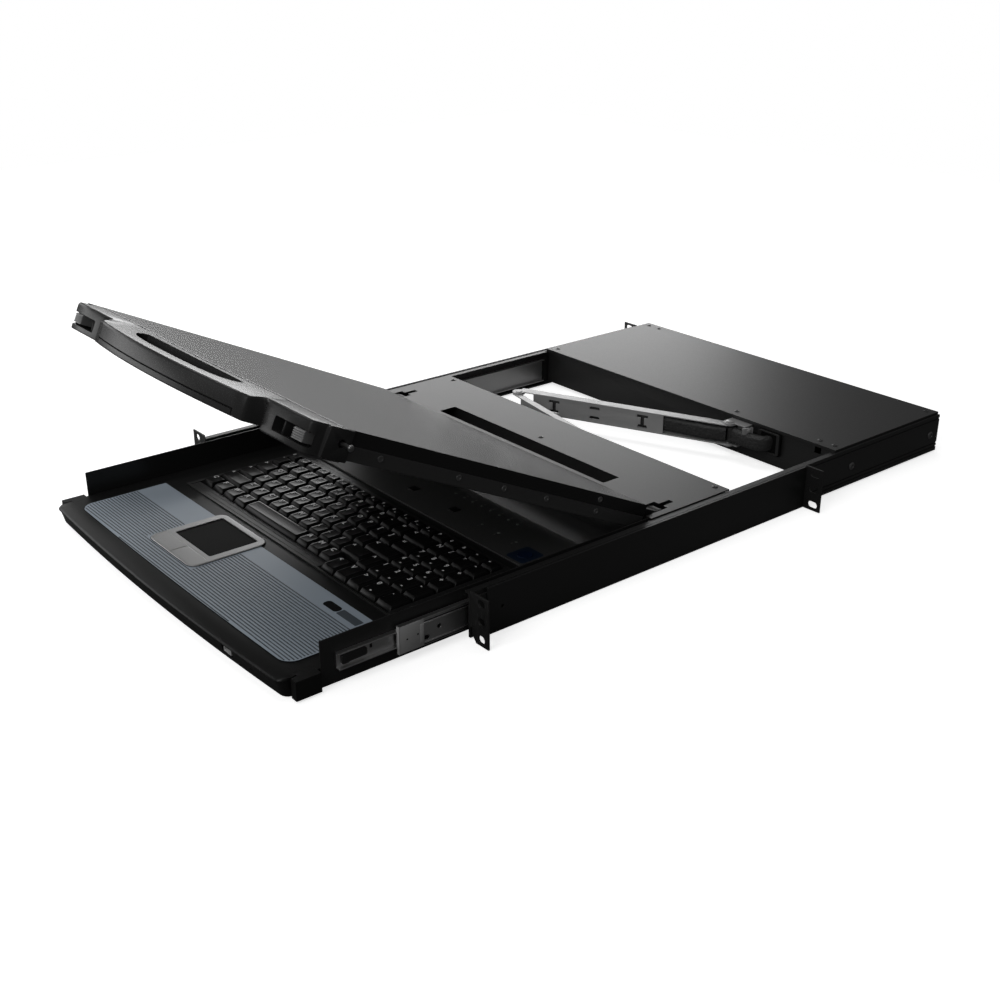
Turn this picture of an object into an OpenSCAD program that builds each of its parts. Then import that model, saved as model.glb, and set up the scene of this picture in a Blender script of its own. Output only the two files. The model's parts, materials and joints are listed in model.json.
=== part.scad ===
// Rackmount keyboard and display console: a drawer with a folding display lid, on slides, with a switch box.
// Heights are given above the lower edge of the rack ears. The origin is the middle of the front ear holes.

/* [Rack] */
// Width over the rack ears
rack_w = 482.6; // [480:0.1:486]
// Height of an ear, one rack unit less its clearance
ear_h = 43.7; // [43:0.1:44.4]
// Distance from an ear's outer edge to its holes
hole_edge = 8.75; // [8:0.05:9.5]
// Height between the top and bottom ear holes
hole_pitch_z = 31.75; // [30:0.05:33]
// Thickness of the ear sheet
ear_t = 1.6; // [1.2:0.1:1.6]
// Height of an ear hole
ear_hole_h = 6.6; // [6:0.1:7.2]
// Length of a front ear hole
front_hole_l = 8; // [7:0.1:10]
// Length of a rear ear hole
rear_hole_l = 11; // [9:0.1:13]
// How far the right rear ear stands behind the front ears
rear_ear_right_y = 413.4; // [400:1:440]
// How far the left rear ear stands behind the front ears
rear_ear_left_y = 622.7; // [520:1:640]

/* [Rails and box] */
// How far an ear reaches out past the rail
ear_reach = 22.7; // [22:0.1:24]
// Thickness of a rail's wall
rail_t = 2.4; // [1.8:0.1:2.6]
// Length of the rails
rail_l = 640; // [630:1:680]
// Height of the rail's lower edge
rail_low = 1.6; // [1:0.1:3]
// Height of the rail's upper edge
rail_high = 42; // [41:0.1:43]
// Where the switch box starts
box_front = 465; // [463:1:475]
// Height of the switch box's top face
box_high = 44.6; // [44:0.1:46]

/* [Drawer] */
// Room for a slide between a rail and a side wall
slide_space = 9.2; // [9.2:0.1:10]
// Thickness of the drawer's sheet
pan_t = 1.2; // [1:0.1:1.4]
// Where the side walls start, ahead of the ears
wall_front = -132; // [-136:1:-128]
// Where the side walls and the rear plate end
wall_back = 312; // [306:1:318]
// Height of the side walls
wall_high = 41.4; // [40:0.1:41.4]
// Height of the deck that carries the keyboard
deck_high = 18; // [17:0.1:19]
// Foremost point of the bowed front edge
bezel_front = -171.5; // [-180:1:-170]
// How far the bow falls back at its ends
bezel_sag = 6; // [4:0.5:12]

/* [Display lid] */
// Clearance between the lid and each side wall
lid_side_gap = 2.8; // [2.6:0.1:4]
// Front edge of the metal back cover, lid closed
lid_front = -132; // [-134:1:-128]
// Rear edge of the lid, lid closed
lid_back = 207.4; // [204:0.2:208]
// Height of the lid's top face, lid closed
lid_high = 42.6; // [42:0.1:43]
// Height of the lid's lower face, lid closed
lid_low = 20; // [19.5:0.1:23]
// Angle at which the lid stands open
lid_open = 25.4; // [0:0.1:80]
// Hinge axis behind the ears
hinge_y = 230.6; // [229:0.1:233]
// Height of the hinge axis
hinge_z = 36; // [34:0.1:36]
// Width of the border on each side of the picture
screen_side = 34; // [30:0.1:50]
// Width of the border in front of the picture
screen_border = 32.8; // [28:0.1:50]
// Depth of the picture area
screen_d = 270.3; // [200:0.1:275]

/* [Keyboard] */
// Room beside the keyboard case on each side
case_side_gap = 33.8; // [30:0.1:40]
// Pitch of the key rows
key_pitch_y = 19.1; // [18:0.1:19.1]
// Depth of a function key's place
function_pitch_y = 14; // [12:0.5:15]
// Height of the key tops above the deck
key_proud = 4.2; // [3:0.1:5]

/* [Cable arm] */
// Rear pivot to elbow
rear_arm_l = 243; // [235:1:245]
// Elbow to the free end of the front arm
front_arm_l = 238; // [225:1:240]
// Direction of the rear arm, from its pivot
rear_arm_dir = 204.2; // [202:0.1:206]
// Direction of the front arm, from the elbow
front_arm_dir = -10.5; // [-14:0.1:-9]
// Height of the arm's lower face
arm_low = 16; // [14:0.5:17]
// Height of the arm's upper face
arm_high = 38.8; // [37:0.1:38.8]

/* [Hidden] */

$fn = 32;
// Overrun of every cut past the face that it opens
cut = 1;
// Clearance between pieces that lie loosely beside each other
gap = 0.3;
// Radial clearance of a pin in its bore
pin_gap = 0.06;
// Clearance under a piece that rests loosely
rest_gap = 0.1;
// Clearance between sliding members
slide_gap = 0.3;
// Thickness of light pressed sheet
sheet = 1.2;

// Ears
ear_out = rack_w / 2;
rail_out = ear_out - ear_reach;
leg_in = rail_out + rest_gap;
ear_bend = leg_in + ear_t;
ear_leg_l = 60;
ear_leg_low = 4;
ear_leg_high = 38;
hole_x = ear_out - hole_edge;
bracket_in = ear_bend + gap;
bracket_t = 1.6;
bracket_out = bracket_in + bracket_t;
bracket_l = 398;
bracket_low = 0.2;
bracket_high = 41;
bracket_fold = 2.2;

// Rails
rail_in = rail_out - rail_t;
wall_out = rail_in - slide_space;
wall_in = wall_out - pan_t;
lid_half_w = wall_in - lid_side_gap;
lip_front = 8;
lip_l = 460;
lip_w = 5.4;
lip_t = 1.6;
groove_d = 0.8;
groove_w = 1.6;
groove_shares = [0.1, 0.2, 0.88];
latch_y = 4.6;
latch_z = 33.3;
latch_hole_r = 3.2;

// Three-member slides
inner_low = 13.6;
inner_high = 28;
member_t = 1.2;
middle_low = 8;
middle_high = 32;
inner_front = -119;
inner_back = 250;
middle_front = -65;
middle_l = 400;
outer_front = 7.5;
outer_back = 455;
inner_depth = 5;
middle_tip_gap = 0.8;
outer_depth = 5.2;
inner_out = wall_out + inner_depth;
middle_web = inner_out + slide_gap;
middle_in = wall_out + member_t + middle_tip_gap;
outer_in = rail_in - outer_depth;
outer_low = middle_low - slide_gap - member_t;
outer_high = middle_high + slide_gap + member_t;
bumper_l = 23;
lever_front = -113;
lever_l = 21;
lever_h = 6.4;
lever_t = 3;
middle_hole_r = 2;
middle_holes_y = [-27, -38.5];
middle_holes_z = [20.3, 14.4];

// Switch box
box_out = rail_in - rest_gap;
cover_t = 1.4;
cover_skirt = 9;
cover_overhang = 1.6;
tray_out = box_out - cover_t - 2 * rest_gap;
tray_low = 3.5;
tray_top = box_high - cover_t;
panel_t = 1.2;
board_low = 9;
board_t = 1.6;
board_front = 482;
board_back = 620;
standoff_r = 3;
board_inset = 8;
chip_shares = [[0.2, 0.3, 0.16], [0.45, 0.55, 0.2], [0.72, 0.35, 0.14], [0.3, 0.75, 0.1], [0.62, 0.78, 0.1]];
chip_h = 3;
supply_w = 74;
supply_side_gap = 9.5;
supply_x = tray_out - supply_side_gap - supply_w / 2;
board_side_gap = 14.5;
board_gap = 11;
board_right = supply_x - supply_w / 2 - board_gap;
board_half_w = (board_right + tray_out - board_side_gap) / 2;
board_x = board_right - board_half_w;
supply_front = 485;
supply_l = 110;
supply_low = 9;
coil_s = 24;
coil_h = 20;
can_r = 8;
can_h = 22;
inlet_side_gap = 36.5;
inlet_x = tray_out - inlet_side_gap;
inlet_w = 28;
inlet_h = 21;
inlet_hole_w = 23;
inlet_hole_h = 16;
inlet_depth = 17;
inlet_z = 24;
inlet_floor = 2;
inlet_lip = 1.6;
blade_w = 2;
blade_h = 5;
blade_l = 10;
blade_step = 7;
rocker_beside_inlet = 30;
rocker_x = inlet_x - rocker_beside_inlet;
rocker_w = 13;
rocker_h = 19;
rocker_body_h = 16;
rocker_depth = 9.4;
rocker_dip = 1.5;
rocker_tilt = 8;
rocker_pin_r = 2;
port_pitch = 36;
port_side_gap = 32.5;
port_x = port_side_gap - tray_out;
port_beside_rocker = 40;
port_count = floor((rocker_x - port_beside_rocker - port_x) / port_pitch);
port_w = 31;
port_h = 12.5;
port_shell_w = 17;
port_shell_h = 9;
port_shell_l = 5.8;
port_depth = 10;
port_z = 14;
jack_r = 2.4;
jack_pitch = 25;
jack_l = 5;
pivot_side_gap = 126.6;
pivot_x = tray_out - pivot_side_gap;
bush_beside_pivot = 46.1;
bush_x = pivot_x + bush_beside_pivot;
bush_z = 28.4;
bush_w = 28;
bush_h = 23.6;
bush_hole_w = 20;
bush_hole_h = 20.4;
bush_proud = 4;
bush_r = 3;
head_r = 2.8;
head_h = 0.6;
shank_r = 1.5;
shank_gap = 0.1;
cover_screw_edge = 9;
screw_row_front = box_front + cover_screw_edge;
screw_row_back = rail_l - cover_screw_edge;
screw_corner = box_out - cover_screw_edge;
cover_screws = [[-screw_corner, screw_row_back], [2 * cover_screw_edge - screw_corner, screw_row_back],
                [screw_corner, screw_row_back], [-screw_corner, screw_row_front],
                [pivot_x - cover_screw_edge, screw_row_front],
                [screw_corner - 2 * cover_screw_edge, screw_row_front], [screw_corner, screw_row_front]];
rail_screw_y = [490, 626];
rail_screw_z = 21.8;
rail_head_r = 4;
rail_head_h = 1.3;
rail_shank_r = 2;

// Cable arm
pivot_y = 453;
arm_w = 12;
elbow_side = 8;
front_arm_w = 8;
arm_t = 1.2;
knuckle_r = 7;
pin_r = 2.5;
pin_head_r = 4;
pin_head_h = 0.8;
web_start = 71;
web_end_gap = 18;
tongue_t = 1.2;
tongue_low = arm_high + 0.2;
bracket_plate_low = 25;
bracket_plate_w = 19;
bracket_step = 2;
bracket_plate_x = pivot_x + bracket_step;
screw_x = bracket_plate_x + bracket_plate_w * 2 / 3;
screw_z = 33;
i_cut_shares = [0.39, 0.82];
i_cut_h = 12;
i_cut_w = 10;
i_cut_t = 2;
slot_cut_share = 0.62;
slot_cut_l = 10;
slot_cut_h = 1.8;
slot_cut_apart = 11;
elbow_x = pivot_x + rear_arm_l * cos(rear_arm_dir) - elbow_side * sin(rear_arm_dir);
elbow_y = pivot_y + rear_arm_l * sin(rear_arm_dir) + elbow_side * cos(rear_arm_dir);
nest = 0.2;
tip_x = elbow_x + front_arm_l * cos(front_arm_dir);
tip_y = elbow_y + front_arm_l * sin(front_arm_dir);
anchor_w = 26;
anchor_over = 2.4;
cable_h = 16.8;
cable_t = 10;
cable_front_t = 6;
cable_z = (arm_low + arm_high) / 2;

// Drawer
pan_low = 1.6;
pan_front = -148;
bay_front = 256;
lip_h = 10;
deck_t = 1.6;
deck_half_w = wall_in - gap;
deck_front = -150;
deck_back = 160;
shelf_high = 11;
shelf_back = 208;
bezel_end_gap = 4.8;
bezel_half_w = wall_in - bezel_end_gap;
bezel_back = deck_front;
bezel_wall = 2.4;
bezel_low = 1.6;
bezel_chamfer = 3;
block_proud = 6.5;
block_out = wall_out + block_proud;
block_front = -157;
block_back = -134;
block_high = 22;
block_low = 1.4;
arc_count = 24;
foot_r = 4;
usb_edge = 73;
usb_x = bezel_half_w - usb_edge;
usb_z = 11;
usb_w = 13;
usb_h = 5.6;
usb_l = 16;
usb_wall = 0.5;
usb_tongue_h = 1.8;
usb_tongue_w = 9;
reset_beside_usb = 32;
reset_x = usb_x + reset_beside_usb;
reset_r = 0.9;
panel_side_gap = 19.8;
panel_half_w = wall_in - panel_side_gap;
panel_front = -149;
panel_back = -61;
panel_r = 13;
panel_bow = 2;
panel_t2 = 0.5;
pad_frame_x = -43.5;
pad_frame_y = -91;
pad_frame_w = 82;
pad_frame_d = 76.5;
pad_frame_r = 9;
pad_frame_h = 1.3;
pad_w = 64;
pad_d = 47.5;
pad_back_gap = 6;
pad_sink = 0.8;
pad_t = 1.2;
pad_button_d = 18;
pad_button_travel = 0.6;
pad_button_h = 2.4;

// Keyboard
case_half_w = wall_in - case_side_gap;
case_front = -46;
case_back = 82;
case_low = 8;
case_floor_t = 1.6;
case_high = deck_high + 1;
case_wall = 1.6;
key_h = 7;
key_gap = 0.7;
key_top_share = 0.74;
key_low = deck_high + key_proud - key_h;
row_units = 19;
keys_side_gap = 4.8;
keys_left = keys_side_gap - case_half_w;
key_pitch_x = -2 * keys_left / row_units;
keys_back = 76.7;
arrow_drop = 10;
function_shares = [for (i = [1:row_units]) 1];
number_shares = [1, 1, 1, 1, 1, 1, 1, 1, 1, 1, 1, 1, 1, 2, 1, 1, 1, 1];
tab_shares = [1.5, 1, 1, 1, 1, 1, 1, 1, 1, 1, 1, 1, 1, 1.5, 1, 1, 1, 1];
home_shares = [1.75, 1, 1, 1, 1, 1, 1, 1, 1, 1, 1, 1, 2.25, 1, 1, 1, 1];
shift_shares = [2.25, 1, 1, 1, 1, 1, 1, 1, 1, 1, 1, 1.75];
pad_shares = [1, 1, 1, 1, 1];
bottom_shares = [1.17, 1.17, 1.17, 1.17, 5.22, 1.05, 1.05, 1.05];
arrow_shares = [1.1, 1.1, 1.1, 1.35, 1.3];

// Control panel
strip_side_gap = 29.8;
strip_half_w = wall_in - strip_side_gap;
strip_front = 91;
strip_back = 157;
strip_t = 1.4;
strip_high = deck_high + strip_t;
button_y = 118;
button_s = 9;
button_h = 3;
button_proud = 0.6;
power_edge = 16;
power_x = strip_half_w - power_edge;
power_y = 107;
power_r = 7;
lens_r = 1.5;
lens_h = 1;
lens_row_x = 16;
lens_row_y = 143;
lens_pitch = 13.1;
lens_count = 8;
lens_short_edge = 89;
lens_short_x = strip_half_w - lens_short_edge;
lens_short_y = 118;
lens_short_pitch = 24;
lens_short_count = 3;
button_down_back = 42;
button_down_x = lens_short_x - button_down_back;
button_pitch = 64;
button_up_x = button_down_x - button_pitch;
board2_low = 10;
board2_edge = 26;
board2_half_w = strip_half_w - board2_edge;
board2_front = 98;
board2_back = 150;

// Rear plate
plate_t = 1.4;
plate_low = wall_high;
plate_high = plate_low + plate_t;
plate_proud = 4.4;
plate_half_w = wall_out + plate_proud;
plate_front = 209.6;
slot_end_gap = 84.8;
slot_half_w = plate_half_w - slot_end_gap;
slot_front = 232;
slot_back = 252.5;
notch_back = 237.6;
slit_back = 251;
plate_screw_edge = 12.4;
plate_screw_back = wall_back - plate_screw_edge / 2;
plate_screws = [[plate_screw_edge - plate_half_w, plate_screw_back],
                [plate_half_w - plate_screw_edge, plate_screw_back], [0, slot_back + plate_screw_edge]];

// Hinges
hinge_pin_r = 3;
barrel_r = 5.8;
lid_t = 1.2;
barrel_w = 11.4;
barrel_out = lid_half_w - lid_t - 4 * rest_gap;
barrel_in = barrel_out - barrel_w;
base_w = 4.6;
base_in = barrel_in - gap - base_w;
base_t = 3;
notch_side = 2.8;
notch_in = barrel_in - notch_side;
notch_out = barrel_out + notch_side;
slit_in = barrel_in + notch_side;
slit_out = barrel_out - notch_side;
base_r = 5;
hinge_leaf_t = 6;
hinge_leaf_front = 150;
hinge_leaf_bend = 190;
base_foot_l = 30;

// Lid
seam = 31.6;
seam_gap = 0.1;
frame_face_t = 1.6;
rim_w = 12;
rim_h = 2.8;
screen_w = 2 * (lid_half_w - screen_side);
screen_y = lid_front + screen_border + screen_d / 2;
module_edge = 10.2;
module_back = 13;
module_w = screen_w + 2 * module_edge;
module_d = screen_d + 2 * module_back;
module_h = 9.5;
end_block_w = 60;
end_block_inset = 4;
end_block_out = lid_half_w - end_block_inset;
end_block_in = end_block_out - end_block_w;
handle_low = 17.2;
handle_proud = 1.6;
handle_end = lid_half_w + handle_proud;
grip_front = -184.5;
grip_top_front = -184;
grip_low = 18.8;
grip_top_z = 38;
valley_w = 14;
grip_half_w = end_block_in - valley_w;
grip_sag = 14;
ridge_y = -137;
end_block_front = -161;
finger_end_gap = 18;
finger_half_w = grip_half_w - finger_end_gap;
finger_front = -166;
finger_sag = 12;
finger_back = -139;
finger_low = 23;
window_w = 42.5;
window_out = end_block_out - lid_t - gap;
window_in = window_out - window_w;
window_low = 22.6;
window_high = 33.2;
pocket_back = -134.6;
bolt_y = -135.4;
bolt_z = 31.4;
bolt_r = 2.5;
bolt_catch = 2.2;
bolt_tip = rail_in + bolt_catch;
bolt_dome = 1;
latch_pad_w = 16;
latch_pad_gap = 2;
latch_pad_out = window_out - latch_pad_gap;
latch_pad_in = latch_pad_out - latch_pad_w;
bolt_root = latch_pad_in + latch_pad_w / 2;
lid_screw_r = 2.4;
lid_screw_h = 0.6;
lid_screws_y = [-97, -18, 32, 82, 145, 145];
lid_screws_z = [27.2, 27.2, 27.2, 27.2, 26.6, 37.4];

// Placing helpers
module seat() { translate([0, 0, -ear_h / 2]) children(); }
module opened() {
    seat() translate([0, hinge_y, hinge_z]) rotate([-lid_open, 0, 0]) translate([0, -hinge_y, -hinge_z])
        children();
}
module mirrored() { mirror([1, 0, 0]) children(); }
module both() {
    children();
    mirrored() children();
}
// Box between two corners, each axis given as [low, high]
module span(x, y, z) {
    translate([x[0], y[0], z[0]]) cube([x[1] - x[0], y[1] - y[0], z[1] - z[0]]);
}
// Box as wide to the left as to the right
module wide(half, y, z) { span([-half, half], y, z); }
// Upright cylinder on a point, and one that lies along X
module post(at, r, h) { translate(at) cylinder(r = r, h = h); }
module rod(at, r, h) { translate(at) rotate([0, 90, 0]) cylinder(r = r, h = h); }
// Box with its middle in X and Y at a point
module mid(x, y, z, w, d, h) {
    translate([x - w / 2, y - d / 2, z]) cube([w, d, h]);
}
module round_rect(w, d, r) {
    square([w - 2 * r, d], center = true);
    square([w, d - 2 * r], center = true);
    for (x = [-1, 1], y = [-1, 1]) translate([x * (w / 2 - r), y * (d / 2 - r)]) circle(r);
}
// Long hole with round ends, through sheet that faces along Y
module ear_hole(x, z, l, y0, y1) {
    r = ear_hole_h / 2;
    for (s = [-1, 1]) translate([x + s * (l / 2 - r), y0, z]) rotate([-90, 0, 0])
        cylinder(r = r, h = y1 - y0);
    span([x - l / 2 + r, x + l / 2 - r], [y0, y1], [z - r, z + r]);
}
module ear_plate(inner, y, l) {
    mid_z = ear_h / 2;
    difference() {
        span([inner, ear_out], [y, y + ear_t], [0, ear_h]);
        for (z = [-1, 0, 1]) ear_hole(hole_x, mid_z + z * hole_pitch_z / 2, l, y - cut, y + ear_t + cut);
    }
}
// Screw head with a short shank below it, standing on Z
module screw(head, high, shank, deep) {
    cylinder(r = head, h = high);
    post([0, 0, -deep], shank, deep + high / 2);
}

// Rails and ears
module rail() {
    h = rail_high - rail_low;
    difference() {
        union() {
            span([rail_in, rail_out], [0, rail_l], [rail_low, rail_high]);
            span([rail_in - lip_w, rail_out], [lip_front, rail_l], [rail_low, rail_low + lip_t]);
            span([rail_in - lip_w + lip_t, rail_out], [0, lip_l], [rail_high - lip_t, rail_high]);
        }
        for (s = groove_shares)
            span([rail_out - groove_d, rail_out + cut], [ear_leg_l + cut, rail_l + cut],
                 [rail_low + s * h, rail_low + s * h + groove_w]);
        rod([rail_in - cut, latch_y, latch_z], latch_hole_r, rail_t + 2 * cut);
        for (y = rail_screw_y)
            rod([rail_in - cut, y, rail_screw_z], rail_shank_r + shank_gap, rail_t + 2 * cut);
    }
}
module rails() { seat() color("#1c1c1e") both() rail(); }
module front_ears() {
    seat() color("#202022") both() {
        ear_plate(leg_in, 0, front_hole_l);
        difference() {
            span([leg_in, ear_bend], [0, ear_leg_l], [ear_leg_low, ear_leg_high]);
            rod([leg_in - cut, latch_y, latch_z], latch_hole_r, 2 * ear_t + 2 * cut);
        }
    }
}
module rear_bracket(ear_y) {
    difference() {
        union() {
            span([bracket_in, bracket_out], [ear_y - bracket_l, ear_y], [bracket_low, bracket_high]);
            span([bracket_in - bracket_fold + bracket_t, bracket_out], [ear_y - bracket_l, ear_y],
                 [bracket_high, bracket_high + bracket_t]);
        }
        rod([bracket_in - cut, ear_y - bracket_l + ear_leg_l / 4, ear_h / 2], shank_r, bracket_t + 2 * cut);
    }
    ear_plate(bracket_in, ear_y - ear_t, rear_hole_l);
}
module rear_bracket_right() { seat() color("#202022") rear_bracket(rear_ear_right_y); }
module rear_bracket_left() { seat() color("#202022") mirrored() rear_bracket(rear_ear_left_y); }

// Slides: each member is a channel, the next one nests in it
module channel(web_in, web_out, tip, y0, y1, z0, z1) {
    span([web_in, web_out], [y0, y1], [z0, z1]);
    low = min(web_in, tip);
    high = max(web_out, tip);
    span([low, high], [y0, y1], [z0, z0 + member_t]);
    span([low, high], [y0, y1], [z1 - member_t, z1]);
}
module slide_outers() {
    seat() color("#b9bbbb") both()
        channel(rail_in - member_t, rail_in, outer_in, outer_front, outer_back, outer_low, outer_high);
}
module slide_inners() {
    seat() color("#c4c6c6") both()
        channel(wall_out, wall_out + member_t, inner_out, inner_front, inner_back, inner_low, inner_high);
}
module slide_middle() {
    difference() {
        channel(middle_web, middle_web + member_t, middle_in, middle_front, middle_front + middle_l,
            middle_low, middle_high);
        for (i = [0, 1]) rod([middle_web - cut, middle_holes_y[i], middle_holes_z[i]], middle_hole_r,
            member_t + 2 * cut);
    }
    for (z = [[middle_low, inner_low - slide_gap], [inner_high + slide_gap, middle_high]])
        span([middle_in, middle_web], [middle_front, middle_front + bumper_l], z);
}
module slide_middle_right() { seat() color("#d0d2d2") slide_middle(); }
module slide_middle_left() { seat() color("#d0d2d2") mirrored() slide_middle(); }
module slide_lever() {
    r = lever_h / 2;
    color("#19191b") translate([wall_out + member_t, 0, (inner_low + inner_high - lever_h) / 2]) {
        span([0, lever_t], [lever_front + r, lever_front + lever_l - r], [0, lever_h]);
        for (y = [lever_front + r, lever_front + lever_l - r])
            rod([0, y, r], r, lever_t);
    }
}
module slide_lever_right() { seat() slide_lever(); }
module slide_lever_left() { seat() mirrored() slide_lever(); }

// Switch box
module box_tray() {
    seat() color("#18181a") difference() {
        union() {
            wide(tray_out, [box_front, rail_l - panel_t], [tray_low, tray_low + sheet]);
            wide(tray_out, [box_front, box_front + sheet], [tray_low, tray_top]);
            both() span([tray_out - sheet, tray_out], [box_front, rail_l - panel_t], [tray_low, tray_top]);
            for (x = [-1, 1], y = [board_front + board_inset, board_back - board_inset])
                post([board_x + x * (board_half_w - board_inset), y, tray_low], standoff_r,
                    board_low - tray_low);
            for (x = [-1, 1], y = [supply_front + board_inset, supply_front + supply_l - board_inset])
                translate([supply_x + x * (supply_w / 2 - board_inset), y, tray_low])
                    cylinder(r = standoff_r, h = supply_low - tray_low);
        }
        span([bush_x - bush_hole_w / 2, bush_x + bush_hole_w / 2], [box_front - cut, box_front + sheet + cut],
             [bush_z - bush_hole_h / 2, bush_z + bush_hole_h / 2]);
    }
}
module box_cover() {
    front = box_front - cover_overhang;
    seat() color("#242426") difference() {
        union() {
            wide(box_out, [front, rail_l], [tray_top, box_high]);
            both() span([box_out - cover_t, box_out], [front, rail_l], [box_high - cover_skirt, box_high]);
            wide(box_out, [front, front + cover_t], [tray_top - cover_overhang, box_high]);
        }
        for (p = cover_screws) post([p[0], p[1], tray_top - cut], shank_r + shank_gap, cover_t + 2 * cut);
        both() for (y = rail_screw_y)
            rod([box_out - cover_t - cut, y, rail_screw_z], rail_shank_r + shank_gap, cover_t + 2 * cut);
    }
}
module rear_panel() {
    y = [rail_l - panel_t, rail_l];
    yc = [rail_l - panel_t - cut, rail_l + cut];
    seat() color("#1b1b1d") difference() {
        wide(tray_out, y, [tray_low, tray_top]);
        span([inlet_x - inlet_w / 2, inlet_x + inlet_w / 2], yc,
            [inlet_z - inlet_h / 2, inlet_z + inlet_h / 2]);
        span([rocker_x - rocker_w / 2 - gap, rocker_x + rocker_w / 2 + gap], yc,
             [inlet_z - rocker_h / 2 - gap, inlet_z + rocker_h / 2 + gap]);
        for (i = [0:port_count - 1]) {
            x = port_x + i * port_pitch;
            span([x - port_shell_w / 2 - gap, x + port_shell_w / 2 + gap], yc,
                 [port_z - port_shell_h / 2 - gap, port_z + port_shell_h / 2 + gap]);
            for (s = [-1, 1]) translate([x + s * jack_pitch / 2, yc[0], port_z]) rotate([-90, 0, 0])
                cylinder(r = jack_r + gap, h = yc[1] - yc[0]);
        }
    }
}
module main_board() {
    w = 2 * board_half_w;
    d = board_back - board_front;
    seat() color("#1d5a35") translate([board_x - board_half_w, board_front, board_low]) {
        cube([w, d, board_t]);
        for (c = chip_shares) mid(c[0] * w, c[1] * d, board_t, c[2] * d, c[2] * d, chip_h);
    }
}
module power_supply() {
    seat() color("#7a5c2e") translate([supply_x - supply_w / 2, supply_front, supply_low]) {
        cube([supply_w, supply_l, board_t]);
        mid(supply_w / 2, supply_l / 2, board_t, coil_s, coil_s, coil_h);
        for (y = [supply_l / 5, supply_l * 4 / 5]) post([supply_w / 4, y, board_t], can_r, can_h);
    }
}
module power_inlet() {
    back = rail_l + inlet_lip;
    seat() color("#101012") {
        difference() {
            union() {
                mid(inlet_x, rail_l - inlet_depth / 2, inlet_z - inlet_h / 2, inlet_w - gap, inlet_depth,
                    inlet_h - gap);
                mid(inlet_x, rail_l + inlet_lip / 2, inlet_z - inlet_h / 2 - inlet_lip,
                    inlet_w + 2 * inlet_lip, inlet_lip,
                    inlet_h + 2 * inlet_lip);
            }
            span([inlet_x - inlet_hole_w / 2, inlet_x + inlet_hole_w / 2],
                [rail_l - inlet_depth + inlet_floor, back + cut],
                 [inlet_z - inlet_hole_h / 2, inlet_z + inlet_hole_h / 2]);
        }
        for (x = [-1, 0, 1])
            mid(inlet_x + x * blade_step, rail_l - inlet_depth + inlet_floor + blade_l / 2,
                inlet_z - blade_h + (x == 0 ? blade_h : 0), blade_w, blade_l, blade_h);
    }
}
module power_switch() {
    h = rocker_body_h / 2;
    seat() color("#151517") translate([rocker_x - rocker_w / 2, rail_l - rocker_depth, inlet_z])
        rotate([rocker_tilt, 0, 0])
        rotate([90, 0, 90]) linear_extrude(rocker_w)
            union() {
                polygon([[0, -h], [rocker_depth, -h], [rocker_depth - rocker_dip, 0], [rocker_depth, h],
                         [0, h]]);
                circle(rocker_pin_r);
            }
}
module port_sockets() {
    seat() color("#24448c") for (i = [0:port_count - 1]) {
        x = port_x + i * port_pitch;
        mid(x, rail_l - panel_t - port_depth / 2, port_z - port_h / 2, port_w, port_depth, port_h);
        mid(x, rail_l - panel_t + port_shell_l / 2, port_z - port_shell_h / 2, port_shell_w, port_shell_l,
            port_shell_h);
        for (s = [-1, 1]) translate([x + s * jack_pitch / 2, rail_l - panel_t, port_z]) rotate([-90, 0, 0])
            cylinder(r = jack_r, h = jack_l);
    }
}
module cable_bush() {
    seat() color("#0f0f11") translate([bush_x, box_front, bush_z]) rotate([90, 0, 0])
        linear_extrude(bush_proud) difference() {
        round_rect(bush_w, bush_h, bush_r);
        square([bush_hole_w, bush_hole_h], center = true);
    }
}
module arm_bracket() {
    wall = box_front - tongue_t;
    seat() color("#c8caca") {
        span([bracket_plate_x, bracket_plate_x + bracket_plate_w], [wall, box_front],
             [bracket_plate_low, tongue_low + tongue_t]);
        translate([screw_x, wall, screw_z]) rotate([90, 0, 0]) cylinder(r = rail_head_r, h = rail_head_h);
        span([pivot_x - knuckle_r, bracket_plate_x + bracket_plate_w], [pivot_y, box_front],
            [tongue_low, tongue_low + tongue_t]);
        post([pivot_x, pivot_y, tongue_low], knuckle_r, tongue_t);
        post([pivot_x, pivot_y, arm_high - 2 * arm_t], pin_r, 2 * arm_t + tongue_t);
        span([pivot_x - knuckle_r, bracket_plate_x + bracket_plate_w / 2], [pivot_y, box_front],
             [arm_low - tongue_t - nest, arm_low - nest]);
        post([pivot_x, pivot_y, arm_low - tongue_t - nest], knuckle_r, tongue_t);
        post([pivot_x, pivot_y, arm_low - tongue_t], pin_r, 2 * arm_t + tongue_t);
    }
}
module chassis_screws() {
    seat() color("#8c8e90") {
        for (p = cover_screws) translate([p[0], p[1], box_high])
            screw(head_r, head_h, shank_r, cover_t - shank_gap);
        both() for (y = rail_screw_y) translate([rail_out, y, rail_screw_z]) rotate([0, 90, 0])
            screw(rail_head_r, rail_head_h, rail_shank_r, rail_t + cover_t / 2);
    }
}

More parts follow.
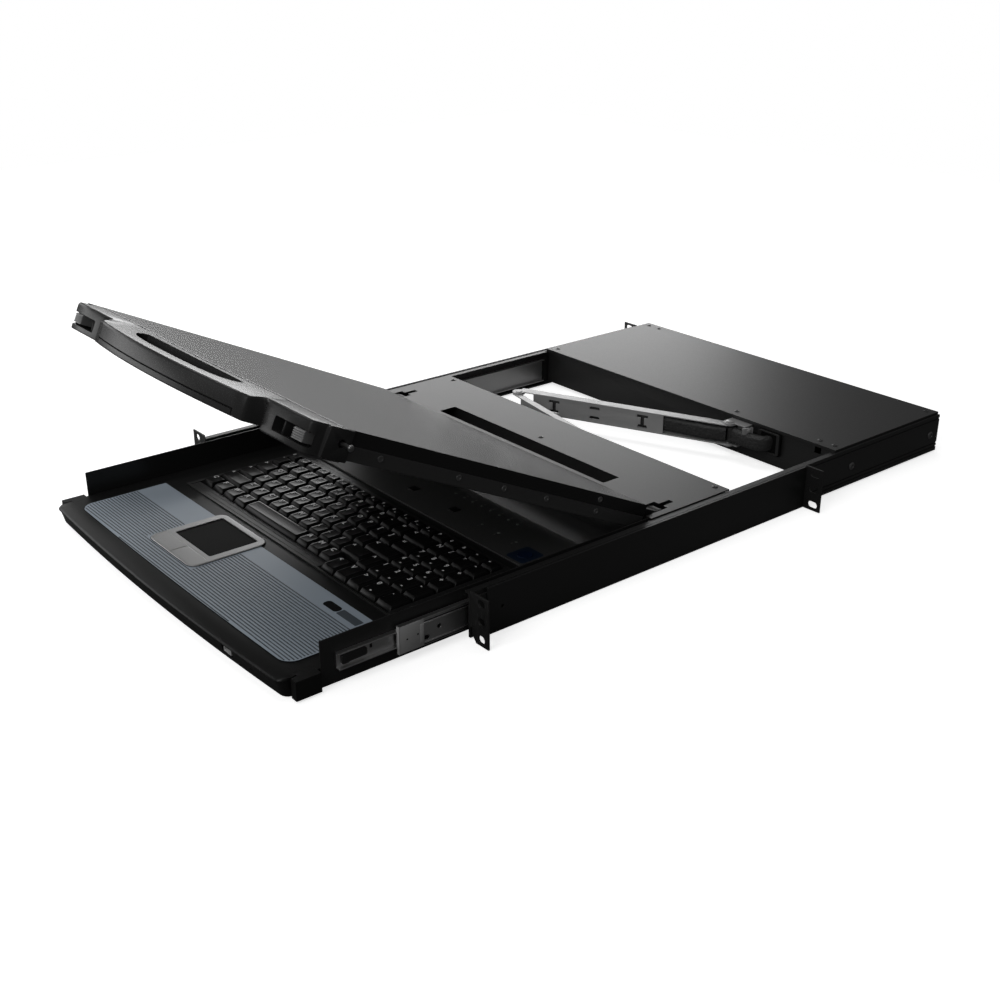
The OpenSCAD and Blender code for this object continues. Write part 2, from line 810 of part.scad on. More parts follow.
// Cable arm. Each arm is drawn along its own X, with its hinge at zero
module arm_places(share_list, l) { for (s = share_list) translate([s * l, 0, 0]) children(); }
module rear_arm() {
    face = elbow_side;
    seat() color("#d3d5d4") translate([pivot_x, pivot_y, 0]) rotate([0, 0, rear_arm_dir]) difference() {
        union() {
            for (z = [arm_low, arm_high - arm_t]) {
                span([0, rear_arm_l], [face - arm_w, face], [z, z + arm_t]);
                post([0, 0, z], knuckle_r, arm_t);
                post([rear_arm_l, face, z], knuckle_r, arm_t);
            }
            span([web_start, rear_arm_l - web_end_gap], [face - arm_t, face], [arm_low, arm_high]);
            post([rear_arm_l, face, arm_high - 3 * arm_t], pin_r, 3 * arm_t + pin_head_h / 2);
            post([rear_arm_l, face, arm_high], pin_head_r, pin_head_h);
            post([rear_arm_l, face, arm_low], pin_r, 3 * arm_t);
        }
        for (z = [arm_low - cut, arm_high - arm_t - cut])
            post([0, 0, z], pin_r + pin_gap, arm_t + 2 * cut);
        arm_places(i_cut_shares, rear_arm_l) for (z = [-1, 1])
            mid(0, face, cable_z + z * (i_cut_h - i_cut_t) / 2 - i_cut_t / 2, i_cut_w, 4 * arm_t, i_cut_t);
        arm_places(i_cut_shares, rear_arm_l)
            mid(0, face, cable_z - i_cut_h / 2 + i_cut_t / 2, i_cut_w / 4, 4 * arm_t, i_cut_h - i_cut_t);
        arm_places([slot_cut_share], rear_arm_l) for (z = [-1, 1])
            mid(0, face, cable_z + z * slot_cut_apart / 2, slot_cut_l, 4 * arm_t, slot_cut_h);
    }
}
module front_arm() {
    low = arm_low + arm_t + nest;
    high = arm_high - arm_t - nest;
    seat() color("#d3d5d4") translate([elbow_x, elbow_y, 0]) rotate([0, 0, front_arm_dir]) difference() {
        union() {
            for (z = [low, high - arm_t]) {
                span([0, front_arm_l], [-front_arm_w, 0], [z, z + arm_t]);
                post([0, 0, z], knuckle_r, arm_t);
                post([front_arm_l, -front_arm_w / 2, z], front_arm_w / 2, arm_t);
            }
            span([web_end_gap, front_arm_l], [-front_arm_w, arm_t - front_arm_w], [low, high]);
        }
        for (z = [low - cut, high - arm_t - cut])
            post([0, 0, z], pin_r + pin_gap, arm_t + 2 * cut);
    }
}
module arm_anchor() {
    x = [tip_x - anchor_w / 2, tip_x + anchor_w / 2];
    seat() color("#c8caca") {
        span(x, [bay_front, bay_front + tongue_t], [arm_low, tongue_low + tongue_t]);
        span(x, [bay_front, tip_y + anchor_over], [tongue_low, tongue_low + tongue_t]);
    }
}
// Flat-sided sleeve with round edges, along X
module sleeve(l, t, nose) {
    r = t / 2;
    translate([nose ? 0 : -r, -r, -cable_h / 2 + r]) cube([nose ? l : l + r, t, cable_h - t]);
    for (z = [-1, 1]) rod([nose ? 0 : -r, 0, z * (cable_h / 2 - r)], r, nose ? l : l + r);
}
module cable_fixed() {
    r = cable_t / 2;
    start = pivot_x + knuckle_r;
    seat() color("#161618") translate([0, 0, cable_z - cable_h / 2]) {
        span([start, bush_x], [pivot_y - r - rest_gap, pivot_y + r - rest_gap], [0, cable_h]);
        post([bush_x, pivot_y - rest_gap, 0], r, cable_h);
        span([bush_x - r, bush_x + r], [pivot_y - rest_gap, box_front + sheet], [0, cable_h]);
    }
}
module cable_rear() {
    seat() color("#161618") translate([pivot_x, pivot_y, cable_z]) rotate([0, 0, rear_arm_dir])
        translate([knuckle_r / 2, elbow_side - arm_t - cable_t / 2 - gap, 0])
            sleeve(rear_arm_l - web_end_gap - knuckle_r, cable_t, true);
}
module cable_front() {
    seat() color("#161618") translate([elbow_x, elbow_y, cable_z]) rotate([0, 0, front_arm_dir])
        translate([web_end_gap, arm_t - front_arm_w + cable_front_t / 2 + gap, 0])
            sleeve(front_arm_l - 2 * web_end_gap, cable_front_t, true);
}

// Drawer
module drawer_pan() {
    seat() color("#1a1a1c") {
            wide(wall_out, [wall_front, bay_front], [pan_low, pan_low + pan_t]);
            wide(bezel_half_w - bezel_wall, [pan_front, wall_front], [pan_low, pan_low + pan_t]);
            wide(bezel_half_w - bezel_wall, [pan_front, pan_front + pan_t], [pan_low, pan_low + lip_h]);
            both() span([wall_in, wall_out], [wall_front, wall_back], [pan_low, wall_high]);
            wide(wall_in, [bay_front - pan_t, bay_front], [pan_low, wall_high]);
    }
}
// Bowed outline of the front edge, set back by an inset
function bow(half_w, front, sag, inset) =
    [for (i = [0:arc_count])
        let (s = 2 * i / arc_count - 1) [s * (half_w - inset), front + inset + sag * s * s]];
module bow_plan(half_w, front, sag, inset, back) {
    polygon(concat(bow(half_w, front, sag, inset), [[half_w - inset, back], [-half_w + inset, back]]));
}
module front_bezel() {
    h = deck_high - bezel_low;
    seat() color("#1b1b1e") difference() {
        union() {
            translate([0, 0, bezel_low]) linear_extrude(h - bezel_chamfer)
                bow_plan(bezel_half_w, bezel_front, bezel_sag, 0, bezel_back);
            translate([0, 0, deck_high - bezel_chamfer]) linear_extrude(bezel_chamfer)
                bow_plan(bezel_half_w, bezel_front, bezel_sag, bezel_chamfer / 2, bezel_back);
            both() span([bezel_half_w - bezel_wall, wall_in - gap + cut], [bezel_back - cut, block_back],
                [pan_low + pan_t, deck_high]);
            both() span([wall_in - gap, block_out], [block_front, block_back], [block_low, block_high]);
        }
        translate([0, 0, bezel_low + bezel_wall]) linear_extrude(h - 2 * bezel_wall)
            bow_plan(bezel_half_w, bezel_front, bezel_sag, 2 * bezel_wall, bezel_back + cut);
        mid(usb_x, bezel_front + bezel_sag, usb_z - usb_h / 2 - gap / 2, usb_w + gap, 2 * usb_l, usb_h + gap);
        translate([reset_x, bezel_front, usb_z]) rotate([-90, 0, 0]) cylinder(r = reset_r, h = usb_l);
    }
}
module panel_plan() {
    w = 2 * panel_half_w;
    d = panel_back - panel_front;
    translate([0, (panel_front + panel_back) / 2]) {
        round_rect(w, d, panel_r);
        translate([-w / 2, 0]) square([w, d / 2]);
    }
    bow_plan(panel_half_w - panel_r, panel_front - panel_bow, panel_bow, 0, panel_back);
}
module pad_plan(grow) {
    translate([pad_frame_x, pad_frame_y])
        round_rect(pad_frame_w + 2 * grow, pad_frame_d + 2 * grow, pad_frame_r + grow);
}
module deck() {
    low = deck_high - deck_t;
    seat() color("#1d1d1f") difference() {
        union() {
            wide(bezel_half_w - bezel_wall, [deck_front, block_back], [low, deck_high]);
            wide(deck_half_w, [block_back, deck_back], [low, deck_high]);
            wide(deck_half_w, [deck_back - deck_t, deck_back], [shelf_high - deck_t, deck_high]);
            wide(deck_half_w, [deck_back - deck_t, shelf_back], [shelf_high - deck_t, shelf_high]);
            both() for (y = [deck_front + 4 * foot_r, case_front - 2 * foot_r, deck_back - 2 * foot_r])
                post([case_half_w + 3 * foot_r, y, pan_low + pan_t], foot_r,
                    low - pan_low - pan_t + deck_t / 2);
        }
        wide(case_half_w + gap, [case_front - gap, case_back + gap], [low - cut, deck_high + cut]);
        translate([0, 0, low - cut]) linear_extrude(deck_t + 2 * cut) pad_plan(-pad_frame_h);
        for (x = [button_up_x, button_down_x])
            mid(x, button_y, low - cut, button_s + 2 * gap, button_s + 2 * gap, deck_t + 2 * cut);
        post([power_x, power_y, low - cut], power_r + gap, deck_t + 2 * cut);
    }
}
module palm_panel() {
    seat() color("#9fb0b8") translate([0, 0, deck_high]) linear_extrude(panel_t2) difference() {
        panel_plan();
        pad_plan(gap);
    }
}
module pad_hole(grow) {
    y = pad_frame_y + pad_frame_d / 2 - pad_back_gap - pad_d;
    translate([pad_frame_x - pad_w / 2 - grow, y - grow]) square([pad_w + 2 * grow, pad_d + 2 * grow]);
}
button_edge = pad_frame_y - pad_frame_d / 2 + pad_button_d;
module touchpad_bezel() {
    side = [pad_frame_w + 4 * gap, pad_button_d + 2 * gap];
    floor_top = deck_high + pad_frame_h - pad_button_h - pad_button_travel - rest_gap;
    seat() color("#c9cccd") {
        difference() {
            union() {
                translate([0, 0, deck_high]) linear_extrude(pad_frame_h) pad_plan(0);
                translate([0, 0, floor_top - sheet]) linear_extrude(deck_high - floor_top + sheet + cut)
                    pad_plan(-pad_frame_h - gap);
            }
            translate([0, 0, floor_top - sheet - cut])
                linear_extrude(pad_button_h + pad_frame_h + 2 * sheet + 2 * cut) pad_hole(0);
            translate([pad_frame_x - side[0] / 2, button_edge - side[1] + gap, floor_top])
                cube([side[0], side[1], pad_button_h + 2 * cut]);
        }
    }
}
module touchpad() {
    top = deck_high + pad_frame_h - pad_sink;
    seat() color("#26272a") translate([0, 0, top - pad_t]) linear_extrude(pad_t) pad_hole(-rest_gap);
}
module pad_button(s) {
    w = pad_frame_w / 2 - gap;
    top = deck_high + pad_frame_h;
    seat() color("#c9cccd") intersection() {
        translate([0, 0, top - pad_button_h]) linear_extrude(pad_button_h) pad_plan(-pad_frame_h - gap - gap);
        mid(pad_frame_x + s * (w / 2 + gap), button_edge - pad_button_d / 2 - gap / 2, top - pad_button_h,
            w, pad_button_d - gap,
            pad_button_h);
    }
}
module touchpad_button_left() { pad_button(-1); }
module touchpad_button_right() { pad_button(1); }
module usb_socket() {
    y0 = bezel_front + bezel_sag * pow(usb_x / bezel_half_w, 2);
    seat() color("#b4b7b8") translate([usb_x, y0, usb_z]) {
        difference() {
            wide(usb_w / 2, [0, usb_l], [-usb_h / 2, usb_h / 2]);
            wide(usb_w / 2 - usb_wall, [-cut, usb_l - 2 * usb_wall],
                [-usb_h / 2 + usb_wall, usb_h / 2 - usb_wall]);
        }
        wide(usb_tongue_w / 2, [usb_wall, usb_l - usb_wall],
            [usb_h / 2 - usb_wall - usb_tongue_h, usb_h / 2 - 2 * usb_wall]);
    }
}

// Keyboard
module keyboard_case() {
    seat() color("#161618") {
        difference() {
            wide(case_half_w, [case_front, case_back], [case_low, case_high]);
            span([keys_left - gap, -keys_left + gap], [case_front + case_wall, keys_back + gap],
                [case_low + case_floor_t, case_high + cut]);
        }
        for (x = [-1, 0, 1], y = [case_front + foot_r, case_back - foot_r])
            post([x * (case_half_w - foot_r), y, pan_low + pan_t], foot_r,
                case_low - pan_low - pan_t + case_floor_t / 2);
    }
}
function total(list, n) = n <= 0 ? 0 : list[n - 1] + total(list, n - 1);
// Cap with its sides leaning in toward the top
module key_cap(w, d) {
    lean = (1 - key_top_share) * key_pitch_x / 2;
    x = [[key_gap / 2, w - key_gap / 2], [key_gap / 2 + lean, w - key_gap / 2 - lean]];
    y = [[key_gap / 2, d - key_gap / 2], [key_gap / 2 + lean / 2, d - key_gap / 2 - lean]];
    polyhedron([for (i = [0, 1]) each [[x[i][0], y[i][0], i * key_h], [x[i][1], y[i][0], i * key_h],
                                       [x[i][1], y[i][1], i * key_h], [x[i][0], y[i][1], i * key_h]]],
               [[0, 1, 2, 3], [7, 6, 5, 4], [0, 4, 5, 1], [1, 5, 6, 2], [2, 6, 7, 3], [3, 7, 4, 0]]);
}
module key_row(share_list, left, front, depth) {
    for (i = [0:len(share_list) - 1]) translate([left + key_pitch_x * total(share_list, i), front, key_low])
        key_cap(key_pitch_x * share_list[i], depth);
}
// Front edge of the row that stands so many rows behind the bottom row
function row_front(n) = keys_back - function_pitch_y - (5 - n) * key_pitch_y;
module keys_function() { seat() color("#222224")
    key_row(function_shares, keys_left, row_front(5), function_pitch_y); }
module keys_number() { seat() color("#222224") key_row(number_shares, keys_left, row_front(4), key_pitch_y); }
module keys_tab() { seat() color("#222224") key_row(tab_shares, keys_left, row_front(3), key_pitch_y); }
module keys_home() { seat() color("#222224") key_row(home_shares, keys_left, row_front(2), key_pitch_y); }
module keys_shift() {
    seat() color("#222224") {
        key_row(shift_shares, keys_left, row_front(1), key_pitch_y);
        key_row(pad_shares, keys_left + key_pitch_x * total(shift_shares, len(shift_shares)),
            row_front(1) - arrow_drop / 2,
                key_pitch_y + arrow_drop / 2);
    }
}
module keys_bottom() {
    n = len(bottom_shares);
    seat() color("#222224") {
        key_row(bottom_shares, keys_left, row_front(0), key_pitch_y);
        key_row(arrow_shares, keys_left + key_pitch_x * total(bottom_shares, n), row_front(0) - arrow_drop,
                key_pitch_y + arrow_drop / 2);
    }
}

// Control panel
module control_panel() {
    seat() color("#2a2a2d") difference() {
        wide(strip_half_w, [strip_front, strip_back], [deck_high, strip_high]);
        for (x = [button_up_x, button_down_x])
            mid(x, button_y, deck_high - cut, button_s + 2 * gap, button_s + 2 * gap, strip_t + 2 * cut);
        post([power_x, power_y, deck_high - cut], power_r + gap, strip_t + 2 * cut);
        lens_places() translate([0, 0, -lens_h]) cylinder(r = lens_r + shank_gap, h = lens_h + cut, $fn = 16);
    }
}
module lens_places() {
    for (i = [0:lens_count - 1]) translate([lens_row_x + i * lens_pitch, lens_row_y, strip_high]) children();
    for (i = [0:lens_short_count - 1])
        translate([lens_short_x + i * lens_short_pitch, lens_short_y, strip_high]) children();
}
module indicator_lenses() {
    seat() color("#9aa5a0") lens_places() translate([0, 0, -lens_h])
        cylinder(r = lens_r, h = lens_h + shank_gap, $fn = 16);
}
module panel_button(x) {
    seat() color("#0c0c0e")
        mid(x, button_y, strip_high + button_proud - button_h - deck_t, button_s, button_s,
            button_h + deck_t);
}
module port_button_up() { panel_button(button_up_x); }
module port_button_down() { panel_button(button_down_x); }
module power_button() {
    seat() color("#3f6fb5") translate([power_x, power_y, strip_high + button_proud - button_h - deck_t])
        cylinder(r = power_r, h = button_h + deck_t);
}
module control_board() {
    w = 2 * board2_half_w;
    seat() color("#1d5a35") {
        wide(board2_half_w, [board2_front, board2_back], [board2_low, board2_low + board_t]);
        for (x = [-1, 1], y = [board2_front + foot_r, board2_back - foot_r])
            post([x * (board2_half_w - foot_r), y, pan_low + pan_t], foot_r,
                board2_low - pan_low - pan_t + board_t / 2);
        mid(-w / 6, (board2_front + board2_back) / 2, board2_low + board_t, board2_half_w / 8,
            board2_half_w / 8, chip_h / 2);
    }
}

// Rear plate, hinges and screws of the drawer
module rear_plate() {
    z = [plate_low - cut, plate_high + cut];
    seat() color("#262628") difference() {
        wide(plate_half_w, [plate_front, wall_back], [plate_low, plate_high]);
        wide(slot_half_w, [slot_front, slot_back], z);
        both() span([notch_in, notch_out], [plate_front - cut, notch_back], z);
        both() span([slit_in, slit_out], [notch_back - cut, slit_back], z);
        for (p = plate_screws) post([p[0], p[1], z[0]], shank_r + shank_gap, z[1] - z[0]);
    }
}
module hinge_bases() {
    floor_z = pan_low + pan_t;
    seat() color("#8d9092") both() {
        for (x = [base_in, barrel_out + gap]) {
            w = x == base_in ? base_w : base_t;
            span([x, x + w], [hinge_y - base_r, hinge_y + base_r], [floor_z, hinge_z]);
            rod([x, hinge_y, hinge_z], base_r, w);
        }
        span([base_in, barrel_out + gap + base_t], [hinge_y - base_r, hinge_y + base_foot_l / 2],
            [floor_z, floor_z + pan_t]);
        rod([base_in, hinge_y, hinge_z], hinge_pin_r, barrel_out + gap + base_t - base_in);
    }
}
module drawer_screws() {
    seat() color("#8c8e90") for (p = plate_screws) translate([p[0], p[1], plate_high])
        screw(head_r, head_h, shank_r, plate_t - shank_gap);
}

// Display lid, drawn closed and then opened about the hinge
module lid_cover() {
    y = [lid_front, lid_back];
    opened() color("#2b2b2d") difference() {
        wide(lid_half_w, y, [seam + seam_gap, lid_high]);
        wide(lid_half_w - lid_t, [lid_front + lid_t, lid_back - lid_t], [seam, lid_high - lid_t]);
        both() span([barrel_in - gap, barrel_out + gap], [lid_back - lid_t - cut, lid_back + cut],
                    [seam, hinge_z + hinge_leaf_t / 2 + gap]);
    }
}
module lid_frame() {
    y = [lid_front, lid_back];
    face = lid_low + rim_h;
    opened() color("#1e1e20") difference() {
        wide(lid_half_w, y, [lid_low, seam]);
        wide(lid_half_w - rim_w, [lid_front + rim_w, lid_back - rim_w], [lid_low - cut, face]);
        wide(lid_half_w - lid_t, [lid_front + lid_t, lid_back - lid_t], [face + frame_face_t, seam + cut]);
        mid(0, screen_y, face - cut, screen_w, screen_d, frame_face_t + 2 * cut);
        both() span([barrel_in - gap, barrel_out + gap], [lid_back - lid_t - cut, lid_back + cut],
                    [hinge_z - hinge_leaf_t / 2 - gap, seam + cut]);
    }
}
module display_module() {
    opened() color("#3a3f45") mid(0, screen_y, lid_low + rim_h + frame_face_t, module_w, module_d, module_h);
}
module handle_middle() {
    top = lid_high;
    opened() color("#19191b") difference() {
        union() {
            hull() {
                translate([0, 0, grip_low]) linear_extrude(cut)
                    bow_plan(grip_half_w, grip_front, grip_sag, 0, lid_front);
                translate([0, 0, grip_top_z]) linear_extrude(cut)
                    bow_plan(grip_half_w, grip_top_front, grip_sag, 0, lid_front);
                wide(grip_half_w, [ridge_y, lid_front], [top - cut, top]);
            }
            wide(end_block_in - gap, [ridge_y, lid_front], [handle_low, top]);
            wide(end_block_in - gap, [ridge_y - 3 * lid_t, lid_front], [handle_low, grip_top_z]);
        }
        translate([0, 0, finger_low]) linear_extrude(top)
            bow_plan(finger_half_w, finger_front, finger_sag, 0, finger_back);
    }
}
// The two end blocks stand beside the middle of the handle, with a thin seam, and hold the latches.
module handle_ends() {
    top = lid_high;
    opened() color("#19191b") both() difference() {
        union() {
            hull() {
                span([end_block_in, end_block_out], [end_block_front, lid_front],
                    [handle_low, top - 2 * cut]);
                span([end_block_in, end_block_out], [end_block_front + cut, lid_front], [top - cut, top]);
            }
            span([end_block_out - cut, handle_end], [end_block_front + 4 * cut, lid_front],
                [handle_low + cut, top]);
        }
        span([window_in, window_out], [end_block_front - cut, pocket_back], [window_low, window_high]);
        rod([window_out - cut, bolt_y, bolt_z], bolt_r + gap, handle_end - window_out + 3 * cut);
        rod([window_in, bolt_y, bolt_z], bolt_r + gap, window_out - window_in);
    }
}
module handle() { handle_middle(); handle_ends(); }
module latch() {
    z = [window_low + gap, window_high - gap];
    color("#8f9395") {
        span([latch_pad_in, latch_pad_out], [end_block_front + gap, bolt_y - bolt_r / 2], z);
        rod([bolt_root, bolt_y, bolt_z], bolt_r, bolt_tip - bolt_dome - bolt_root);
        translate([bolt_tip - bolt_dome, bolt_y, bolt_z]) rotate([0, 90, 0])
            cylinder(r1 = bolt_r, r2 = bolt_r - bolt_dome, h = bolt_dome);
    }
}
module latch_right() { opened() latch(); }
module latch_left() { opened() mirrored() latch(); }
module hinge_arms() {
    opened() color("#8d9092") both() difference() {
        union() {
            rod([barrel_in, hinge_y, hinge_z], barrel_r, barrel_out - barrel_in);
            span([barrel_in, barrel_out], [hinge_leaf_bend, hinge_y],
                [hinge_z - hinge_leaf_t / 2, hinge_z + hinge_leaf_t / 2]);
            span([barrel_in, barrel_out], [hinge_leaf_front, lid_back - 2 * lid_t],
                [hinge_z, lid_high - lid_t]);
        }
        rod([barrel_in - cut, hinge_y, hinge_z], hinge_pin_r + pin_gap, barrel_out - barrel_in + 2 * cut);
    }
}
module lid_screws() {
    opened() color("#9c9ea0") both() for (i = [0:len(lid_screws_y) - 1])
        rod([lid_half_w, lid_screws_y[i], lid_screws_z[i]], lid_screw_r, lid_screw_h);
}

rails();
front_ears();
slide_outers();
rear_bracket_right();
rear_bracket_left();
box_tray();
box_cover();
rear_panel();
main_board();
power_supply();
power_inlet();
power_switch();
port_sockets();
cable_bush();
arm_bracket();
chassis_screws();
rear_arm();
front_arm();
cable_fixed();
cable_rear();
cable_front();
slide_middle_right();
slide_middle_left();
slide_inners();
slide_lever_right();
slide_lever_left();
drawer_pan();
front_bezel();
deck();
palm_panel();
touchpad_bezel();
touchpad();
touchpad_button_left();
touchpad_button_right();
keyboard_case();
keys_function();
keys_number();
keys_tab();
keys_home();
keys_shift();
keys_bottom();
control_panel();
port_button_up();
port_button_down();
power_button();
indicator_lenses();
usb_socket();
control_board();
rear_plate();
arm_anchor();
hinge_bases();
drawer_screws();
lid_cover();
lid_frame();
display_module();
handle();
latch_right();
latch_left();
hinge_arms();
lid_screws();
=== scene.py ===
# %% [markdown]
# This lesson dresses a rack console: a one-unit drawer with a keyboard, a touchpad and a folding
# display lid, which slides out of two rails, and a switch box behind it that a folding cable arm
# joins to the drawer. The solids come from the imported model, in metres. Every new piece is
# modelled over them by hand operators, and it rides on the body that its solid rides on.

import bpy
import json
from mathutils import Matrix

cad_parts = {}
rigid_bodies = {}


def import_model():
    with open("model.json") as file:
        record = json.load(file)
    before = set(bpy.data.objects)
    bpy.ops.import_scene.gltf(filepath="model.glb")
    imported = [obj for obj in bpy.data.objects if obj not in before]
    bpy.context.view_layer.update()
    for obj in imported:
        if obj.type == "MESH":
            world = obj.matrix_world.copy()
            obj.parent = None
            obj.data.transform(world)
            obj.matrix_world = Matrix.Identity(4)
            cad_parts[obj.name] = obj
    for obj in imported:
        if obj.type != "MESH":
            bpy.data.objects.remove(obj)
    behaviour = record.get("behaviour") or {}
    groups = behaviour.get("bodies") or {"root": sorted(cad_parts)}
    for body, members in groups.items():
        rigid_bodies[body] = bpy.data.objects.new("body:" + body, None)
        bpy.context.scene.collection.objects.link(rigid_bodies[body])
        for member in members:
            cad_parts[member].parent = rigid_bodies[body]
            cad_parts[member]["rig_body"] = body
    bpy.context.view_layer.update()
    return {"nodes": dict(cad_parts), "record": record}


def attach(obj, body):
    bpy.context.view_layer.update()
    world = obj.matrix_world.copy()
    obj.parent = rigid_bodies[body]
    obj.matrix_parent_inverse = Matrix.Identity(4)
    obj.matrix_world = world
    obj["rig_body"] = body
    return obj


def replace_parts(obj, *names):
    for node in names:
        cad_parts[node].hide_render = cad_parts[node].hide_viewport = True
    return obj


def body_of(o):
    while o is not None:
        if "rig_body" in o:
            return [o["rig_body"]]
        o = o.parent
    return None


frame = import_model()

# %% [markdown]
# The piece was measured in millimetres above the lower edge of the rack ears, which is how a
# maker's drawing gives it. The frame's origin is the middle of the ears, so a height loses half
# an ear on its way into the scene. The lid stands open, turned back about its hinge line, and it
# is easiest to model it lying closed and to turn the finished piece.

# %% Units and the lid's place
import json
import math

import bpy
from mathutils import Matrix, Vector

MM = 0.001
HALF_EAR = 21.85
HINGE_Y, HINGE_Z = 230.6, 36
LID_OPEN = 25.4


def seat(x, y, z):
    """A point of the drawing, in millimetres, as a point of the scene."""
    return Vector((x, y, z - HALF_EAR)) * MM


HINGE = seat(0, HINGE_Y, HINGE_Z)
LID_TURN = (Matrix.Translation(HINGE) @ Matrix.Rotation(math.radians(-LID_OPEN), 4, "X")
            @ Matrix.Translation(-HINGE))
print("hinge line at", tuple(round(v, 4) for v in HINGE))

# %% [markdown]
# The camera comes first. The photograph was taken from the right of the drawer, a little in
# front of it and about 24 degrees above the floor, with a lens a little shorter than normal for
# the frame. Its place was worked out from the ears, the rails and the box, whose sizes are known.

# %% Camera
CAMERA_PLACE = (939.14, -565.63, 528.88)
VIEW_AZIMUTH, VIEW_ELEVATION, VIEW_ROLL = 50.41, 23.95, 0.13
CAMERA_LENS = 47.43

bpy.ops.object.select_all(action="DESELECT")
bpy.ops.object.camera_add(location=seat(*CAMERA_PLACE))
camera = bpy.context.object
camera.name = "photo_camera"
turn = (Matrix.Rotation(math.radians(VIEW_AZIMUTH), 3, "Z")
        @ Matrix.Rotation(math.radians(90 - VIEW_ELEVATION), 3, "X")
        @ Matrix.Rotation(math.radians(VIEW_ROLL), 3, "Z"))
camera.rotation_euler = turn.to_euler()
camera.data.lens = CAMERA_LENS
camera.data.clip_start, camera.data.clip_end = 0.05, 40
bpy.context.scene.camera = camera
print("camera at", tuple(round(v, 3) for v in camera.location))

# %% [markdown]
# Every material is a graph of nodes, and there will be dozens of them. They could be placed one by
# one in the shader editor. Written down, the same steps repeat, so there are two helpers: one adds
# a node, whose inputs get values or the outputs of other nodes, and one starts a material.

# %% Node helpers
def shade(value):
    """A grey level, or the three values of a colour, as a colour socket takes it."""
    return (*value, 1) if isinstance(value, tuple) else (value, value, value, 1)


def add(tree, kind, *sockets, settings=(), **named):
    """A shader node. Its inputs get values, outputs, or nodes, which stand for a first output."""
    node = tree.nodes.new("ShaderNode" + kind)
    for name, value in settings:
        setattr(node, name, value)
    for key, value in (*enumerate(sockets), *named.items()):
        socket = node.inputs[key if isinstance(key, int) else key.replace("_", " ")]
        value = value.outputs[0] if isinstance(value, bpy.types.Node) else value
        if isinstance(value, bpy.types.NodeSocket):
            tree.links.new(value, socket)
        else:
            socket.default_value = value
    return node


def new_material(name):
    """A material with an empty graph of nodes."""
    material = bpy.data.materials.new(name)
    material.use_nodes = True
    material.node_tree.nodes.clear()
    return material, material.node_tree


print("a mid grey", shade(0.5))

# %% [markdown]
# The object was cut out on plain white, yet black steel shows mostly what it mirrors. So the
# floor has two faces. The camera sees a matt white one that glows a little and still takes a
# shadow. The object mirrors a dark cloth with a painted pool of light on it at the left, which
# lights the open lid: a round gradient to a pale grey that stands in for lamplight falling off
# over the floor, so that its edge never shows as a line. The floor ends not far from the object,
# because a wide one would turn grey behind the lamps.

# %% Floor
FLOOR_GAP, FLOOR_SIZE = 0.4, 4.2
FLOOR_SHADE, FLOOR_GLOW = 0.8, 0.72
# The pale grey is the middle of a painted pool of light on the floor, which the object mirrors.
CLOTH_SHADE, PAINTED_POOL_SHADE = 0.10, 0.62
PAINTED_POOL_X, PAINTED_POOL_Y, PAINTED_POOL_REACH = -0.42, 0.46, 0.75


def floor_material():
    """White with a shadow to the camera, a cloth with a painted pool of light to all else."""
    material, tree = new_material("studio_floor")
    place = add(tree, "TexCoord").outputs["Object"]
    # A round gradient from the pool's middle: the painted pool of light fades out into the cloth.
    light_pool = add(tree, "Mapping", Vector=place, Scale=(1 / PAINTED_POOL_REACH, 1 / PAINTED_POOL_REACH, 0),
               Location=(-PAINTED_POOL_X / PAINTED_POOL_REACH, -PAINTED_POOL_Y / PAINTED_POOL_REACH, 0))
    fade = add(tree, "TexGradient", light_pool, settings=[("gradient_type", "SPHERICAL")])
    shades = add(tree, "Mix", settings=[("data_type", "RGBA")], Factor=fade.outputs["Fac"],
                 A=shade(CLOTH_SHADE), B=shade(PAINTED_POOL_SHADE))
    cloth = add(tree, "BsdfDiffuse", shades.outputs["Result"])
    matt = add(tree, "BsdfDiffuse", shade(FLOOR_SHADE))
    glow = add(tree, "Emission", shade(1.0), FLOOR_GLOW)
    white = add(tree, "AddShader", matt, glow)
    rays = add(tree, "LightPath").outputs
    seen = add(tree, "Math", rays["Is Camera Ray"], rays["Is Transmission Ray"],
               settings=[("operation", "MAXIMUM")])
    add(tree, "OutputMaterial", add(tree, "MixShader", seen, cloth, white))
    return material


bpy.ops.mesh.primitive_plane_add(size=FLOOR_SIZE, location=seat(0, 0, -FLOOR_GAP))
floor = bpy.context.object
floor.name = "studio_floor"
bpy.ops.object.transform_apply(location=True, rotation=True, scale=True)
floor.data.materials.append(floor_material())
print("floor", FLOOR_SIZE, "m wide")

# %% [markdown]
# The room round the floor is the world. A white world would wash over every black sheet, so it
# is a dim grey to the object, and only the camera sees it as white.

# %% Room
ROOM_DIM = 0.12

world = bpy.data.worlds.new("studio_world")
bpy.context.scene.world = world
world.use_nodes = True
sky = world.node_tree
sky.nodes.clear()
sky_rays = add(sky, "LightPath").outputs
sky_dim = add(sky, "Background", shade(1.0), ROOM_DIM)
sky_white = add(sky, "Background", shade(1.0), 1.0)
sky_mix = add(sky, "MixShader", sky_rays["Is Camera Ray"], sky_dim, sky_white)
add(sky, "OutputWorld", sky_mix)
bpy.context.scene.view_settings.view_transform = "Standard"
print("room", ROOM_DIM)

# %% [markdown]
# A product photograph of black steel is lit by soft boxes, and so is this one. The widest stands
# low behind the far left corner, where the top sheets mirror it towards the camera, and makes the
# sweep of light over the covers. Small weak ones at the left draw the fronts of the handle and
# of the keys. The two large ones, in front and above, only lift the shadows and the pale parts.

